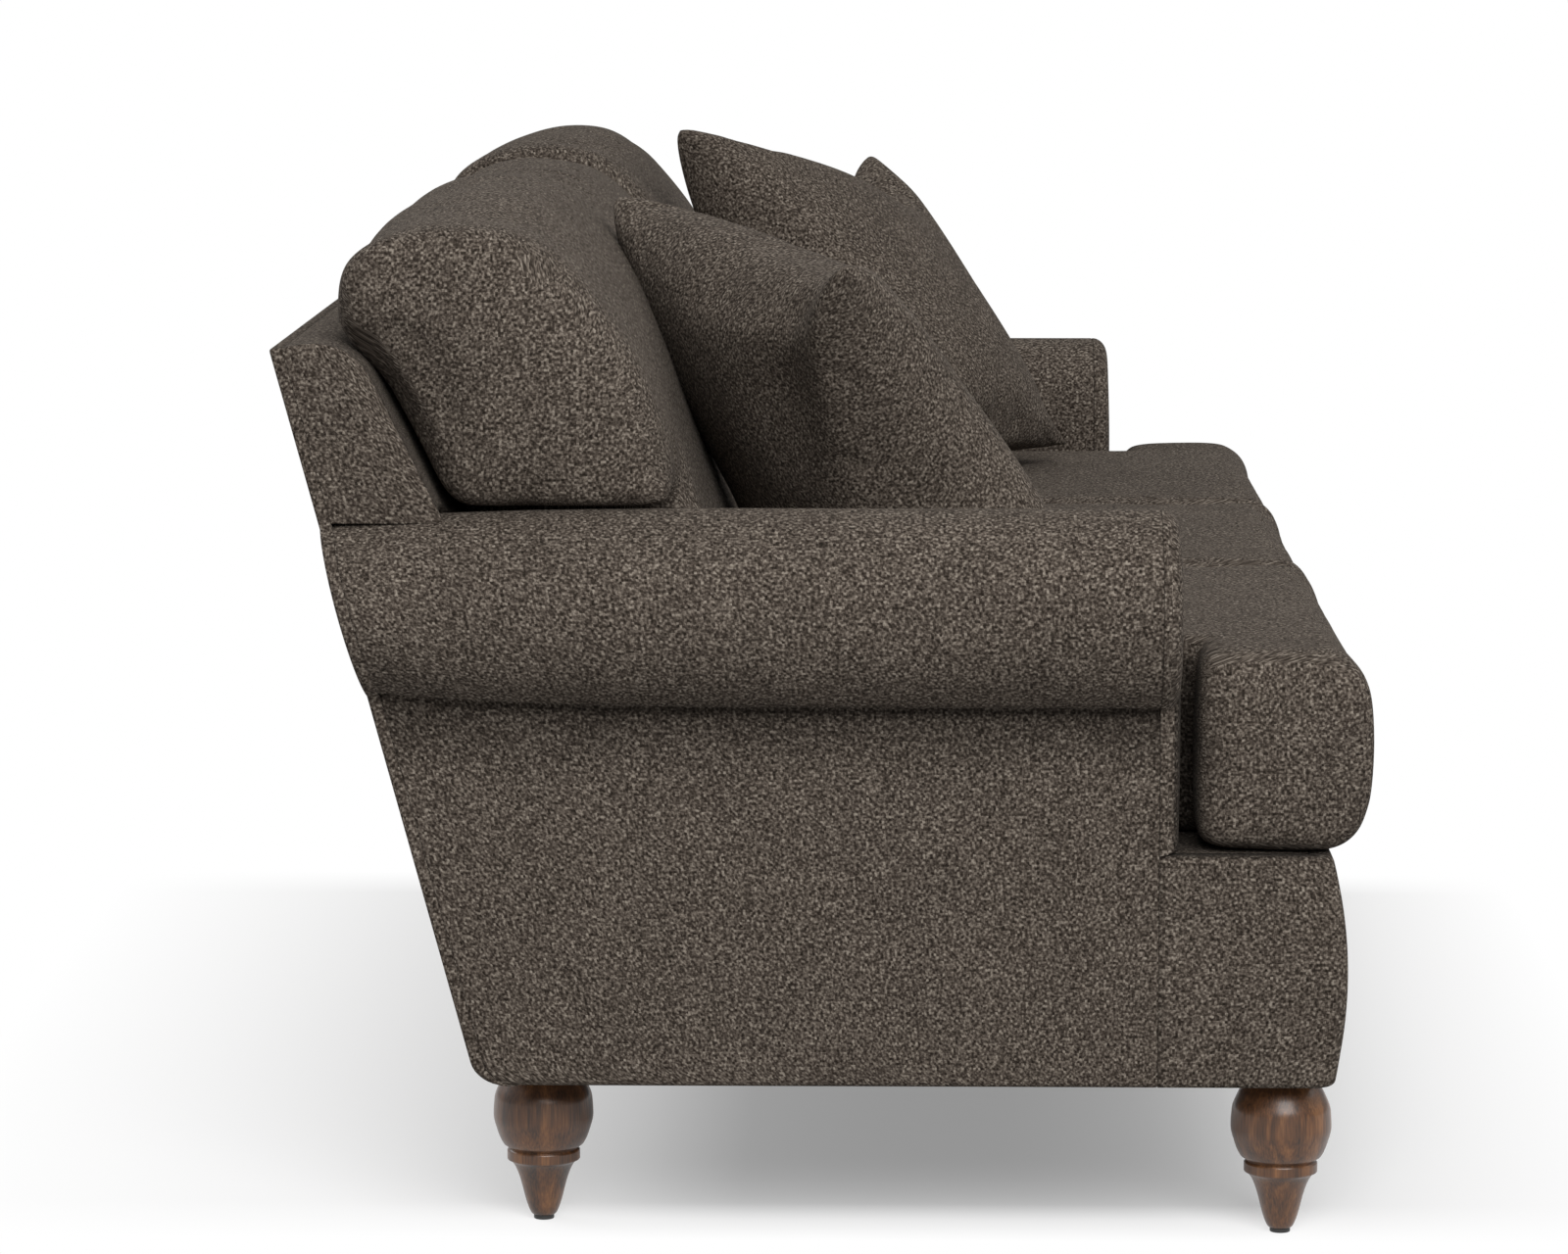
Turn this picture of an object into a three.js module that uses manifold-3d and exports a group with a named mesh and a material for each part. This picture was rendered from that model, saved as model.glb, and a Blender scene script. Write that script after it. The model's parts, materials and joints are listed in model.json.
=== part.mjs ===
// English roll arm sofa, three seats, with loose seat and back cushions, two pillows and turned legs.
// Millimetres. X runs along the sofa, the front is at -Y, the floor is Z = 0.
// "left" is the -X side and "right" the +X side, as seen by someone who stands in front of the sofa.
import * as THREE from "three";
import { mergeVertices } from "three/addons/utils/BufferGeometryUtils.js";
import Module from "manifold-3d";

const wasm = await Module();
wasm.setup();

const degrees = THREE.MathUtils.degToRad;

// Clearances
const seam = 0.3; // between pieces that touch
const cushionGap = 1.5; // between neighbouring cushions, and between a cushion and the arm
const overrun = 40; // how far a cutting tool reaches past what it cuts

// Body of the sofa
const overallDepth = 996; // seat front to the top rear edge of the back
const panelHalf = 1020; // middle of the sofa to each outside arm panel
const footHeight = 147; // floor to the underside of the upholstery
const baseRise = 214.5; // underside of the upholstery to the seat deck
const backRise = 452.5; // seat deck to the rear top edge of the back

// Back
const rearRake = degrees(15.2); // lean of the outside back
const insideRake = degrees(26.4); // lean of the inside back
const backTopDepth = 84; // depth of the back at its front shoulder
const shoulderDrop = 15; // rear top edge down to the front shoulder
const backTopCrown = 16; // rise of the rounded top over its rear edge
const hemRise = 21; // height of the rounded hem of the outside back
const hemRun = 25; // how far that hem turns forward
const outsideBackThick = 12; // board and cover of the outside back
const upholsteryThick = 20; // pad and cover over the frame, on the arms and the back

// Arms
const rollRadius = 93; // arm roll at its front end
const rollInset = 31; // roll centre inboard of the outside arm panel
const rollTaper = 11; // how much smaller the roll is at the back
const armRise = 313.5; // seat deck to the crest of the arm
const facingDepth = 18; // thickness of the arm front facing at the roll
const armSetback = 193; // seat front to the seam behind the arm facing
const facingEdge = 26; // how far the soft edge of the facing reaches in from its outline

// Front border
const borderSetback = 31; // seat front to the foot of the border
const borderBow = 11; // how far the border swells forward
const borderTopReturn = 4; // how far the top of the border stands back of its foot
const borderPad = 21; // pad and cover in front of the front rail

// Frame
const boardThick = 26; // hardwood rails and posts
const plateThick = 18; // plywood leg plates
const plateReach = 92; // length of a leg plate, front to back and side to side
const stumpThick = 20; // plywood arm stumps
const dustCoverThick = 3.4; // cloth under the frame
const deckThick = 14; // burlap and felt over the springs
const crossRailHeight = 130; // rails that tie the front and rear rails together
const rearRailSetback = 188; // rear top edge of the back to the rear face of the rear rail
const postWidth = 56; // side to side, back posts beside the arms
const armBoardWidth = 80;
const armBoardThick = 25;
const topRailHeight = 48;
const topRailDrop = 24; // rear top edge of the back down to the top of the top rail

// Springs and straps
const springWire = 4;
const springSwing = 24; // half the width of a spring's bends
const springBends = 11;
const springCount = 8;
const springLanding = 12; // how far a spring's end lies over a rail
const strapWidth = 60; // elastic straps of the back
const strapThick = 2.6;
const strapSlot = 4; // room for the straps in front of the posts
const strapRises = [70, 190, 325]; // seat deck to the middle of each strap, along Z

// Legs
const frontLegInset = 65; // outside arm panel to the axis of a front leg
const rearLegInset = 105;
const frontLegSetback = 76; // seat front to the axis of a front leg
const rearLegSetback = 236; // rear top edge of the back to the axis of a rear leg
const glideHeight = 4;
const glideRadius = 9.5;
const boltRadius = 4;
const boltInLeg = 40; // length of the hanger bolt inside the leg
const boltClearance = 0.4; // around the bolt's shank
const legSides = 16;

// Seat cushions
const seatThick = 184; // deck to the top of the seat
const seatNose = 45; // how far the front edge rounds over
const seatEndDraw = 16; // how far the ends of a seat cushion are drawn in
const seatRearGap = 3; // behind a seat cushion, at the deck
const earGap = 12; // arm facing to the ear of the outer seat cushions
const earSetback = 6; // outside arm panel to the end of an ear

// Back cushions
const backCushionRise = 407; // seat to the crown of an outer back cushion
const backCushionDepth = 365; // front of the foot to the rearmost point
const backCushionLean = 14; // gap behind the cushion, along Y
const backEndDraw = 46; // how far the ends of a back cushion are drawn in
const backEndRound = 60; // length over which they are drawn in
const backCrownFall = 16; // crown of a back cushion down to its top near the ends
const middleBackDrop = 14; // the middle back cushion is this much lower
const armCushionGap = 2; // arm crest to the ear of a back cushion

// Pillows
const pillowSide = 492; // from tip to tip
const pillowBelly = 194; // thickness in the middle
const pillowDraw = 26; // how far each edge is drawn in between the tips
const pillowSettle = 95; // height of the part that is pressed flat on the seat
const pillowTipInset = 46; // inner face of the arm to the outer top tip
const pillowTipForward = 107; // outer top tip in front of the foot of the back cushions
const pillowTipRise = 334; // seat to the outer top tip
const pillowTipDiffer = 22; // how much higher the right pillow sits
const pillowPoses = [
  { word: "left", sign: -1, higher: 0, lean: degrees(34), turn: degrees(27), tilt: degrees(6.5) },
  { word: "right", sign: 1, higher: pillowTipDiffer, lean: degrees(31.5), turn: degrees(23.5), tilt: degrees(7) },
];

// Levels and places that follow from the sizes above
const seatFront = -overallDepth / 2;
const backTopY = overallDepth / 2;
const deckTop = footHeight + baseRise;
const backTopZ = deckTop + backRise;
const shoulderZ = backTopZ - shoulderDrop;
const armCrest = deckTop + armRise;
const rollX = panelHalf - rollInset;
const rollZ = armCrest - rollRadius;
const armInner = rollX - rollRadius;
const armSeamY = seatFront + armSetback;
const borderFoot = seatFront + borderSetback;
const borderInner = borderFoot + borderPad;
const plateBottom = footHeight + dustCoverThick + seam;
const plateTop = plateBottom + plateThick;
const deckBottom = deckTop - deckThick;
const springTop = deckBottom - seam;
const springBottom = springTop - springWire;
const railTop = springBottom - seam;
const railBottom = plateTop + seam;
const sideRailOuter = panelHalf - upholsteryThick - seam;
const sideRailInner = sideRailOuter - boardThick;
const postInner = armInner + upholsteryThick + seam;
const postOuter = postInner + postWidth;
const rearRailRear = backTopY - rearRailSetback;
const rearRailFront = rearRailRear - boardThick;
const springPitch = (2 * armInner) / springCount;
const crossX = 2 * springPitch;
const topRailTop = backTopZ - topRailDrop;
const topRailBottom = topRailTop - topRailHeight;
const seatTop = deckTop + seam + seatThick;
const seatThird = (2 * armInner) / 3;

// Finishes
function finish(color, roughness) {
  return new THREE.MeshStandardMaterial({ color, roughness, metalness: 0 });
}
const tweed = () => finish(0x4d443d, 0.95);
const walnut = () => finish(0x4a3526, 0.45);
const hardwood = () => finish(0xc49a66, 0.7);
const plywood = () => finish(0xb98d5a, 0.75);
const cloth = () => finish(0x1d1c1b, 0.95);
const felt = () => finish(0xb9ab90, 0.95);
const webbing = () => finish(0x2c2f33, 0.9);
const nylon = () => finish(0x2a2a2a, 0.5);
const steel = () => new THREE.MeshStandardMaterial({ color: 0x8d8f92, roughness: 0.35, metalness: 1 });

const sofa = new THREE.Group();

function place(name, geometry, material, parent = sofa) {
  const mesh = new THREE.Mesh(geometry, material);
  mesh.name = name;
  parent.add(mesh);
  return mesh;
}

// A box from [low, high] pairs along X, Y and Z.
function board(name, x, y, z, material) {
  const mesh = place(name, new THREE.BoxGeometry(x[1] - x[0], y[1] - y[0], z[1] - z[0]), material);
  mesh.position.set((x[0] + x[1]) / 2, (y[0] + y[1]) / 2, (z[0] + z[1]) / 2);
  return mesh;
}

// A pair of limits turned to the other end of the sofa when side is -1.
function sided(side, low, high) {
  return side > 0 ? [low, high] : [-high, -low];
}

const sides = [
  { word: "left", sign: -1 },
  { word: "right", sign: 1 },
];

// Triangles that close a ring of points, in the plane that fits it best.
function capTriangles(ring) {
  const normal = new THREE.Vector3();
  ring.forEach((point, i) => normal.add(new THREE.Vector3().crossVectors(point, ring[(i + 1) % ring.length])));
  normal.normalize();
  const across = new THREE.Vector3(normal.y, normal.z, normal.x).cross(normal).normalize();
  const along = new THREE.Vector3().crossVectors(normal, across);
  const flat = ring.map((point) => new THREE.Vector2(point.dot(across), point.dot(along)));
  return THREE.ShapeUtils.triangulateShape(flat, []).map(([a, b, c]) => {
    const turn = flat[b].clone().sub(flat[a]).cross(flat[c].clone().sub(flat[a]));
    return turn > 0 ? [a, b, c] : [a, c, b];
  });
}

function signedVolume(positions, triangles) {
  const corner = (i) => new THREE.Vector3().fromArray(positions, 3 * i);
  return triangles.reduce((sum, [a, b, c]) => sum + corner(a).dot(corner(b).cross(corner(c))), 0);
}

function indexed(positions, triangles) {
  const outward = signedVolume(positions, triangles) > 0;
  const geometry = new THREE.BufferGeometry();
  geometry.setAttribute("position", new THREE.Float32BufferAttribute(positions, 3));
  geometry.setIndex(triangles.flatMap(([a, b, c]) => (outward ? [a, b, c] : [a, c, b])));
  geometry.computeVertexNormals();
  return geometry;
}

// A closed solid through rings of points that all have the same count, capped at both ends. The caps of a soft
// shape fan out from the middle of the ring.
function loft(rings, soft = false) {
  const count = rings[0].length;
  const triangles = [];
  for (let i = 0; i + 1 < rings.length; i += 1) {
    for (let j = 0; j < count; j += 1) {
      const a = i * count + j;
      const b = i * count + ((j + 1) % count);
      triangles.push([a, b, b + count], [a, b + count, a + count]);
    }
  }
  const points = rings.flat();
  const last = (rings.length - 1) * count;
  if (soft) {
    const middle = points.length;
    [rings[0], rings[rings.length - 1]].forEach((ring) => {
      points.push(ring.reduce((sum, point) => sum.add(point), new THREE.Vector3()).divideScalar(count));
    });
    for (let j = 0; j < count; j += 1) {
      const next = (j + 1) % count;
      triangles.push([middle, next, j], [middle + 1, last + j, last + next]);
    }
  } else {
    capTriangles(rings[0]).forEach(([a, b, c]) => triangles.push([a, c, b]));
    capTriangles(rings[rings.length - 1]).forEach(([a, b, c]) => triangles.push([last + a, last + b, last + c]));
  }
  return indexed(points.flatMap((point) => point.toArray()), triangles);
}

// An outline of [y, z] points carried along X, or of [x, z] points carried along Y between two surfaces.
function alongX(outline, from, to) {
  return loft([from, to].map((x) => outline.map(([y, z]) => new THREE.Vector3(x, y, z))));
}
function alongY(outline, frontAt, rearAt) {
  return loft([frontAt, rearAt].map((at) => outline.map(([x, z]) => new THREE.Vector3(x, at(z), z))));
}

// An outline of [x, y] points, with round holes, raised from one level to another.
function alongZ(outline, from, to, holes = []) {
  const shape = new THREE.Shape(outline.map(([x, y]) => new THREE.Vector2(x, y)));
  holes.forEach(({ x, y, radius }) => {
    const hole = new THREE.Path();
    hole.absarc(x, y, radius, 0, 2 * Math.PI, true);
    shape.holes.push(hole);
  });
  const geometry = new THREE.ExtrudeGeometry(shape, { depth: to - from, bevelEnabled: false, curveSegments: 4 });
  return geometry.translate(0, 0, from);
}

function rectangle(x, y) {
  return [
    [x[0], y[0]],
    [x[1], y[0]],
    [x[1], y[1]],
    [x[0], y[1]],
  ];
}

// Joins and cuts, with manifold-3d
function solid(geometry) {
  const bare = new THREE.BufferGeometry();
  bare.setAttribute("position", geometry.getAttribute("position").clone());
  if (geometry.index) bare.setIndex(geometry.index.clone());
  const merged = mergeVertices(bare);
  return new wasm.Manifold(
    new wasm.Mesh({
      numProp: 3,
      vertProperties: new Float32Array(merged.getAttribute("position").array),
      triVerts: new Uint32Array(merged.index.array),
    }),
  );
}
function geometryOf(body) {
  const mesh = body.getMesh();
  const geometry = new THREE.BufferGeometry();
  geometry.setAttribute("position", new THREE.BufferAttribute(mesh.vertProperties, 3));
  geometry.setIndex(new THREE.BufferAttribute(mesh.triVerts, 1));
  geometry.computeVertexNormals();
  return geometry;
}

// Share along a list of [share, value] rows, straight from row to row.
function between(rows, share) {
  const next = Math.max(1, rows.findIndex(([at]) => at >= share));
  const [fromAt, fromValue] = rows[next - 1];
  const [toAt, toValue] = rows[next];
  return THREE.MathUtils.mapLinear(share, fromAt, toAt, fromValue, toValue);
}

// Faces of the back: rear face with its rounded hem, and the inside face that the cushions lean on
function rearY(z) {
  const raked = backTopY - (backTopZ - z) * Math.tan(rearRake);
  const hem = THREE.MathUtils.clamp((footHeight + hemRise - z) / hemRise, 0, 1);
  return raked - hemRun * (1 - Math.sqrt(1 - hem * hem));
}
function frameRearY(z) {
  return rearY(z) - outsideBackThick - seam;
}
function insideY(z) {
  return rearY(shoulderZ) - backTopDepth - (shoulderZ - z) * Math.tan(insideRake);
}
function postFrontY(z) {
  return insideY(z) + upholsteryThick + strapSlot;
}
const hemShares = [0, 0.12, 0.4, 1];
const hemLevels = hemShares.map((share) => footHeight + hemRise * share);

// Arms. The roll is round outside and a little flatter inside, and it gets smaller towards the back.
function rollAt(y) {
  const share = THREE.MathUtils.clamp(y / frameRearY(rollZ), 0, 1);
  return rollRadius - rollTaper * share ** 3;
}
const outerRollSteps = 8;
const innerRollSteps = 4;

// Outline of an arm in X and Z, a given distance inside its cover, from the foot outside to the foot inside.
function armOutline(radius, inset, outerLevels, innerFoot) {
  const round = radius - inset;
  const crease = -Math.acos(THREE.MathUtils.clamp((rollInset - inset) / round, -1, 1));
  const points = outerLevels.map((z) => [panelHalf - inset, z]);
  for (let i = 0; i <= outerRollSteps; i += 1) {
    const angle = crease + ((Math.PI / 2 - crease) * i) / outerRollSteps;
    points.push([rollX + round * Math.cos(angle), rollZ + round * Math.sin(angle)]);
  }
  for (let i = 1; i <= innerRollSteps; i += 1) {
    const angle = (Math.PI / 2) * (1 + i / innerRollSteps);
    points.push([rollX + (rollRadius - inset) * Math.cos(angle), rollZ + round * Math.sin(angle)]);
  }
  points.push([armInner + inset, innerFoot]);
  return points;
}

// Stations from the front of the arm to its raked rear end
const armStationShares = [0, 0.45, 0.7, 0.86, 1];
function armRings(sign, outlineAt, front, rearAt, further = 0) {
  const rings = armStationShares.map((share) => {
    const middle = THREE.MathUtils.lerp(front, rearAt(rollZ), share);
    return outlineAt(rollAt(middle)).map(
      ([x, z]) => new THREE.Vector3(sign * x, THREE.MathUtils.lerp(front, rearAt(z), share), z),
    );
  });
  if (further > 0) rings.push(rings[rings.length - 1].map(({ x, y, z }) => new THREE.Vector3(x, y + further, z)));
  return rings;
}

function armCover({ word, sign }) {
  const innerFoot = deckTop + seam;
  const outlineAt = (radius) => [
    ...armOutline(radius, 0, hemLevels, innerFoot),
    ...armOutline(radius, upholsteryThick, hemLevels, innerFoot).reverse(),
  ];
  const cover = solid(loft(armRings(sign, outlineAt, armSeamY, frameRearY)));
  const behindPad = (z) => insideY(z) + upholsteryThick - seam;
  const aroundPost = [
    [behindPad(footHeight), footHeight],
    [backTopY + overrun, footHeight],
    [backTopY + overrun, shoulderZ],
    [behindPad(shoulderZ), shoulderZ],
  ];
  const notch = solid(alongX(aroundPost, ...sided(sign, armInner - overrun, postOuter + seam)));
  place(`arm_cover_${word}`, geometryOf(cover.subtract(notch)), tweed());
}

// The facing swells forward at the roll and has a soft edge all round.
const facingInsetShares = [0, 0.1, 0.4, 1];
const facingReachShares = [0, 0.44, 0.8, 1];
function armFacing({ word, sign }) {
  const back = armSeamY - seam;
  const rings = facingInsetShares.map((insetShare, i) => {
    const inset = facingEdge * insetShare;
    const foot = deckTop + seam + inset / 2;
    return armOutline(rollRadius, inset, [foot], foot).map(
      ([x, z]) => new THREE.Vector3(sign * x, back - facingDepth * facingReachShares[i], z),
    );
  });
  place(`arm_facing_${word}`, loft(rings), tweed());
}

function armStump({ word, sign }) {
  const inset = upholsteryThick + seam;
  const outline = armOutline(rollRadius, inset, [railTop + seam], railBottom);
  outline.unshift([sideRailInner - seam, railBottom], [sideRailInner - seam, railTop + seam]);
  const front = armSeamY + seam;
  const turned = outline.map(([x, z]) => [sign * x, z]);
  place(`arm_stump_${word}`, alongY(turned, () => front, () => front + stumpThick), plywood());
}

function armBoard({ word, sign }) {
  const centre = rollX;
  const x = sided(sign, centre - armBoardWidth / 2, centre + armBoardWidth / 2);
  const front = armSeamY + stumpThick + 2 * seam;
  const rear = postFrontY(rollZ) - seam;
  board(`arm_board_${word}`, x, [front, rear], [rollZ, rollZ + armBoardThick], hardwood());
}

// Back. The cover is a hood over the frame above the arms, with a pad between the arms below.
const backTopSteps = 6;
function backTopCurve(inset) {
  const rear = frameRearY(backTopZ) - inset;
  const front = insideY(shoulderZ) + inset;
  const crown = backTopCrown - inset;
  const curve = new THREE.CubicBezierCurve(
    new THREE.Vector2(rear, backTopZ + crown / 2),
    new THREE.Vector2(THREE.MathUtils.lerp(rear, front, 1 / 3), backTopZ + crown),
    new THREE.Vector2(THREE.MathUtils.lerp(rear, front, 3 / 4), backTopZ + crown),
    new THREE.Vector2(front, shoulderZ - inset / 2),
  );
  return curve.getPoints(backTopSteps).map((point) => [point.x, point.y]);
}

function backCover() {
  const hoodFoot = rollZ;
  const padFoot = deckTop + seam;
  const hood = [...backTopCurve(0), [insideY(hoodFoot), hoodFoot], [frameRearY(hoodFoot), hoodFoot]];
  const pad = [
    [insideY(shoulderZ), shoulderZ],
    [insideY(padFoot), padFoot],
    [insideY(padFoot) + upholsteryThick, padFoot],
    [insideY(shoulderZ) + upholsteryThick, shoulderZ],
  ];
  const hollow = [
    [insideY(topRailTop + seam) + upholsteryThick, topRailTop + seam],
    [insideY(footHeight) + upholsteryThick, footHeight],
    [backTopY + overrun, footHeight],
    [backTopY + overrun, topRailTop + seam],
  ];
  const inner = armInner - seam;
  const hollowHalf = panelHalf - upholsteryThick;
  let body = solid(alongX(hood, -panelHalf, panelHalf)).add(solid(alongX(pad, -inner, inner)));
  body = body.subtract(solid(alongX(hollow, -hollowHalf, hollowHalf)));
  sides.forEach(({ sign }) => {
    const grown = (radius) => armOutline(radius, -seam, [footHeight - overrun], footHeight - overrun);
    body = body.subtract(solid(loft(armRings(sign, grown, armSeamY, frameRearY, overrun))));
  });
  place("inside_back_cover", geometryOf(body), tweed());
}

// The outside back closes the rear of the back and of both arms, and turns under in a rounded hem.
function outsideBack() {
  const outer = [...hemLevels, backTopZ].map((z) => [rearY(z), z]);
  const inner = [...hemLevels, backTopZ + backTopCrown / 2].map((z) => [rearY(z) - outsideBackThick, z]);
  const reach = panelHalf + rollRadius;
  const slab = solid(alongX([...outer, ...inner.reverse()], -reach, reach));
  const radius = rollRadius - rollTaper;
  const foot = footHeight - overrun;
  const arm = armOutline(radius, 0, [foot], foot);
  const frontOf = () => 0;
  const behind = () => backTopY + overrun;
  const plate = rectangle([-panelHalf, panelHalf], [foot, backTopZ + overrun]);
  let outline = solid(alongY(plate, frontOf, behind));
  sides.forEach(({ sign }) => {
    const lobe = arm.map(([x, z]) => [sign * x, z]);
    outline = outline.add(solid(alongY(lobe, frontOf, behind)));
  });
  place("outside_back", geometryOf(slab.intersect(outline)), tweed());
}

// Front border: a bowed, padded box over the front rail, open below and behind
const borderSteps = 8;
function frontBorder() {
  const bowed = [];
  for (let i = 0; i <= borderSteps; i += 1) {
    const share = i / borderSteps;
    const bow = borderBow * 4 * share * (1 - share);
    bowed.push([borderFoot + borderTopReturn * share - bow, THREE.MathUtils.lerp(footHeight, deckTop, share)]);
  }
  const rear = armSeamY - seam;
  const outer = solid(alongX([...bowed, [rear, deckTop], [rear, footHeight]], -panelHalf, panelHalf));
  const half = panelHalf - upholsteryThick;
  const hollow = [
    [borderInner, footHeight - overrun],
    [borderInner, deckBottom],
    [rear + overrun, deckBottom],
    [rear + overrun, footHeight - overrun],
  ];
  place("front_border", geometryOf(outer.subtract(solid(alongX(hollow, -half, half)))), tweed());
}

// Frame
const legPlaces = sides.flatMap(({ word, sign }) => [
  { word: `front_${word}`, sign, x: sign * (panelHalf - frontLegInset), y: seatFront + frontLegSetback },
  { word: `rear_${word}`, sign, x: sign * (panelHalf - rearLegInset), y: backTopY - rearLegSetback },
]);

function rails() {
  const front = borderInner + seam;
  const z = [railBottom, railTop];
  const frontInner = sideRailInner - seam;
  board("front_rail", [-frontInner, frontInner], [front, front + boardThick], z, hardwood());
  const rearInner = postInner - seam;
  board("rear_rail", [-rearInner, rearInner], [rearRailFront, rearRailRear], z, hardwood());
  const rear = frameRearY(railBottom) - seam;
  sides.forEach(({ word, sign }) => {
    board(`side_rail_${word}`, sided(sign, sideRailInner, sideRailOuter), [front, rear], z, hardwood());
    const x = sided(sign, crossX - boardThick / 2, crossX + boardThick / 2);
    const y = [front + boardThick + seam, rearRailFront - seam];
    board(`cross_rail_${word}`, x, y, [railBottom, railBottom + crossRailHeight], hardwood());
  });
}

function legPlates() {
  legPlaces.forEach(({ word, sign, x, y }) => {
    const outer = Math.min(sign * x + plateReach / 2, panelHalf - upholsteryThick - seam);
    const middle = Math.min(Math.max(y, borderInner + seam + plateReach / 2), frameRearY(footHeight) - plateReach / 2);
    const front = middle - plateReach / 2;
    const outline = rectangle(sided(sign, outer - plateReach, outer), [front, front + plateReach]);
    const hole = { x, y, radius: boltRadius + boltClearance };
    place(`leg_plate_${word}`, alongZ(outline, plateBottom, plateTop, [hole]), plywood());
  });
}

function dustCover() {
  const half = panelHalf - upholsteryThick - seam;
  const rear = rearY(footHeight) - outsideBackThick - seam;
  const outline = rectangle([-half, half], [borderInner + seam, rear]);
  const holes = legPlaces.map(({ x, y }) => ({ x, y, radius: boltRadius + boltClearance }));
  place("dust_cover", alongZ(outline, footHeight, footHeight + dustCoverThick, holes), cloth());
}

// Posts are cut with the rake of the outside back behind and of the inside back in front.
function postOutline(foot, top) {
  return [
    [postFrontY(foot), foot],
    [frameRearY(foot) - seam, foot],
    [frameRearY(top) - seam, top],
    [postFrontY(top), top],
  ];
}

function backFrame() {
  const top = topRailBottom - seam;
  sides.forEach(({ word, sign }) => {
    const outer = sided(sign, postInner, postOuter);
    place(`back_post_${word}`, alongX(postOutline(railBottom, top), ...outer), hardwood());
    const centre = sided(sign, crossX - boardThick / 2, crossX + boardThick / 2);
    const foot = railTop + seam;
    place(`back_strut_${word}`, alongX(postOutline(foot, top), ...centre), hardwood());
  });
  const half = panelHalf - upholsteryThick - seam;
  place("back_top_rail", alongX(postOutline(topRailBottom, topRailTop), -half, half), hardwood());
}

// Springs run from the front rail to the rear rail, bent from side to side in one plane.
function springOutline(centre, front, rear) {
  const pitch = (rear - front) / (springBends + 1);
  const half = springWire / 2;
  const path = [[centre, front]];
  for (let i = 0; i < springBends; i += 1) {
    const swing = i % 2 === 0 ? springSwing : -springSwing;
    path.push([centre + swing, front + pitch * (i + 0.6)], [centre + swing, front + pitch * (i + 1.4)]);
  }
  path.push([centre, rear]);
  const edge = (side) => path.map(([x, y], i) => {
    const before = path[Math.max(i - 1, 0)];
    const after = path[Math.min(i + 1, path.length - 1)];
    const way = new THREE.Vector2(after[0] - before[0], after[1] - before[1]).normalize();
    return [x + side * half * way.y, y - side * half * way.x];
  });
  return [...edge(1), ...edge(-1).reverse()];
}

function springs() {
  const front = borderInner + boardThick + seam - springLanding;
  const rear = rearRailFront + springLanding;
  for (let i = 0; i < springCount; i += 1) {
    const centre = (i - (springCount - 1) / 2) * springPitch;
    const outline = springOutline(centre, front, rear);
    place(`seat_spring_${i + 1}`, alongZ(outline, springBottom, springTop), steel());
  }
}

function straps() {
  const half = postOuter;
  strapRises.forEach((rise, i) => {
    const middle = deckTop + rise;
    const reach = (strapWidth / 2) * Math.cos(insideRake);
    const front = (z) => postFrontY(z) - seam - strapThick;
    const rear = (z) => postFrontY(z) - seam;
    const low = middle - reach;
    const high = middle + reach;
    const outline = [
      [front(low), low],
      [rear(low), low],
      [rear(high), high],
      [front(high), high],
    ];
    place(`back_strap_${i + 1}`, alongX(outline, -half, half), webbing());
  });
}

function deck() {
  const half = armInner + upholsteryThick;
  const rear = postFrontY(deckBottom) - seam;
  board("seat_deck", [-half, half], [armSeamY, rear], [deckBottom, deckTop], felt());
}

// Legs: radius as shares of the bulb, height as shares of the leg, from the foot up
const bulbRadius = 46.5;
const legShares = [
  [0, 0.24],
  [0.04, 0.3],
  [0.3, 0.54],
  [0.355, 0.64],
  [0.375, 0.73],
  [0.43, 0.73],
  [0.445, 0.69],
  [0.475, 0.8],
  [0.57, 0.93],
  [0.67, 1],
  [0.78, 0.98],
  [0.88, 0.87],
  [1, 0.66],
];
function legs() {
  const foot = glideHeight + seam;
  const top = footHeight - seam;
  legPlaces.forEach(({ word, x, y }) => {
    const outside = legShares.map(([up, out]) => [bulbRadius * out, THREE.MathUtils.lerp(foot, top, up)]);
    const bore = boltRadius + boltClearance;
    const floor = top - boltInLeg;
    const profile = [[0, foot], ...outside, [bore, top], [bore, floor], [0, floor]];
    turned(`leg_${word}`, profile, x, y, legSides, walnut());
    const shank = [
      [0, floor + seam],
      [boltRadius, floor + seam],
      [boltRadius, plateTop],
      [0, plateTop],
    ];
    turned(`hanger_bolt_${word}`, shank, x, y, legSides / 2, steel());
    const pad = [
      [0, 0],
      [glideRadius, 0],
      [glideRadius, glideHeight],
      [0, glideHeight],
    ];
    turned(`glide_${word}`, pad, x, y, legSides, nylon());
  });
}

// A turned piece that stands on the point x, y. The profile has [radius, height] points.
function turned(name, profile, x, y, segments, material) {
  const points = profile.map(([radius, height]) => new THREE.Vector2(radius, height));
  const mesh = place(name, new THREE.LatheGeometry(points, segments), material);
  mesh.rotation.x = Math.PI / 2;
  mesh.position.set(x, y, 0);
}

// Seat cushions. Rows give [share of the height, share of the nose] for the swell of the front and the rear.
const seatFrontShares = [
  [0, 0.8],
  [0.07, 0.4],
  [0.2, 0.19],
  [0.36, 0.05],
  [0.52, 0],
  [0.68, 0.05],
  [0.84, 0.21],
  [0.93, 0.42],
  [0.98, 0.8],
  [1, 1.5],
];
const seatRearShares = [
  [1, 0.6],
  [0.94, 0.2],
  [0.5, 0],
  [0.06, 0.1],
  [0, 0.4],
];

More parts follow.
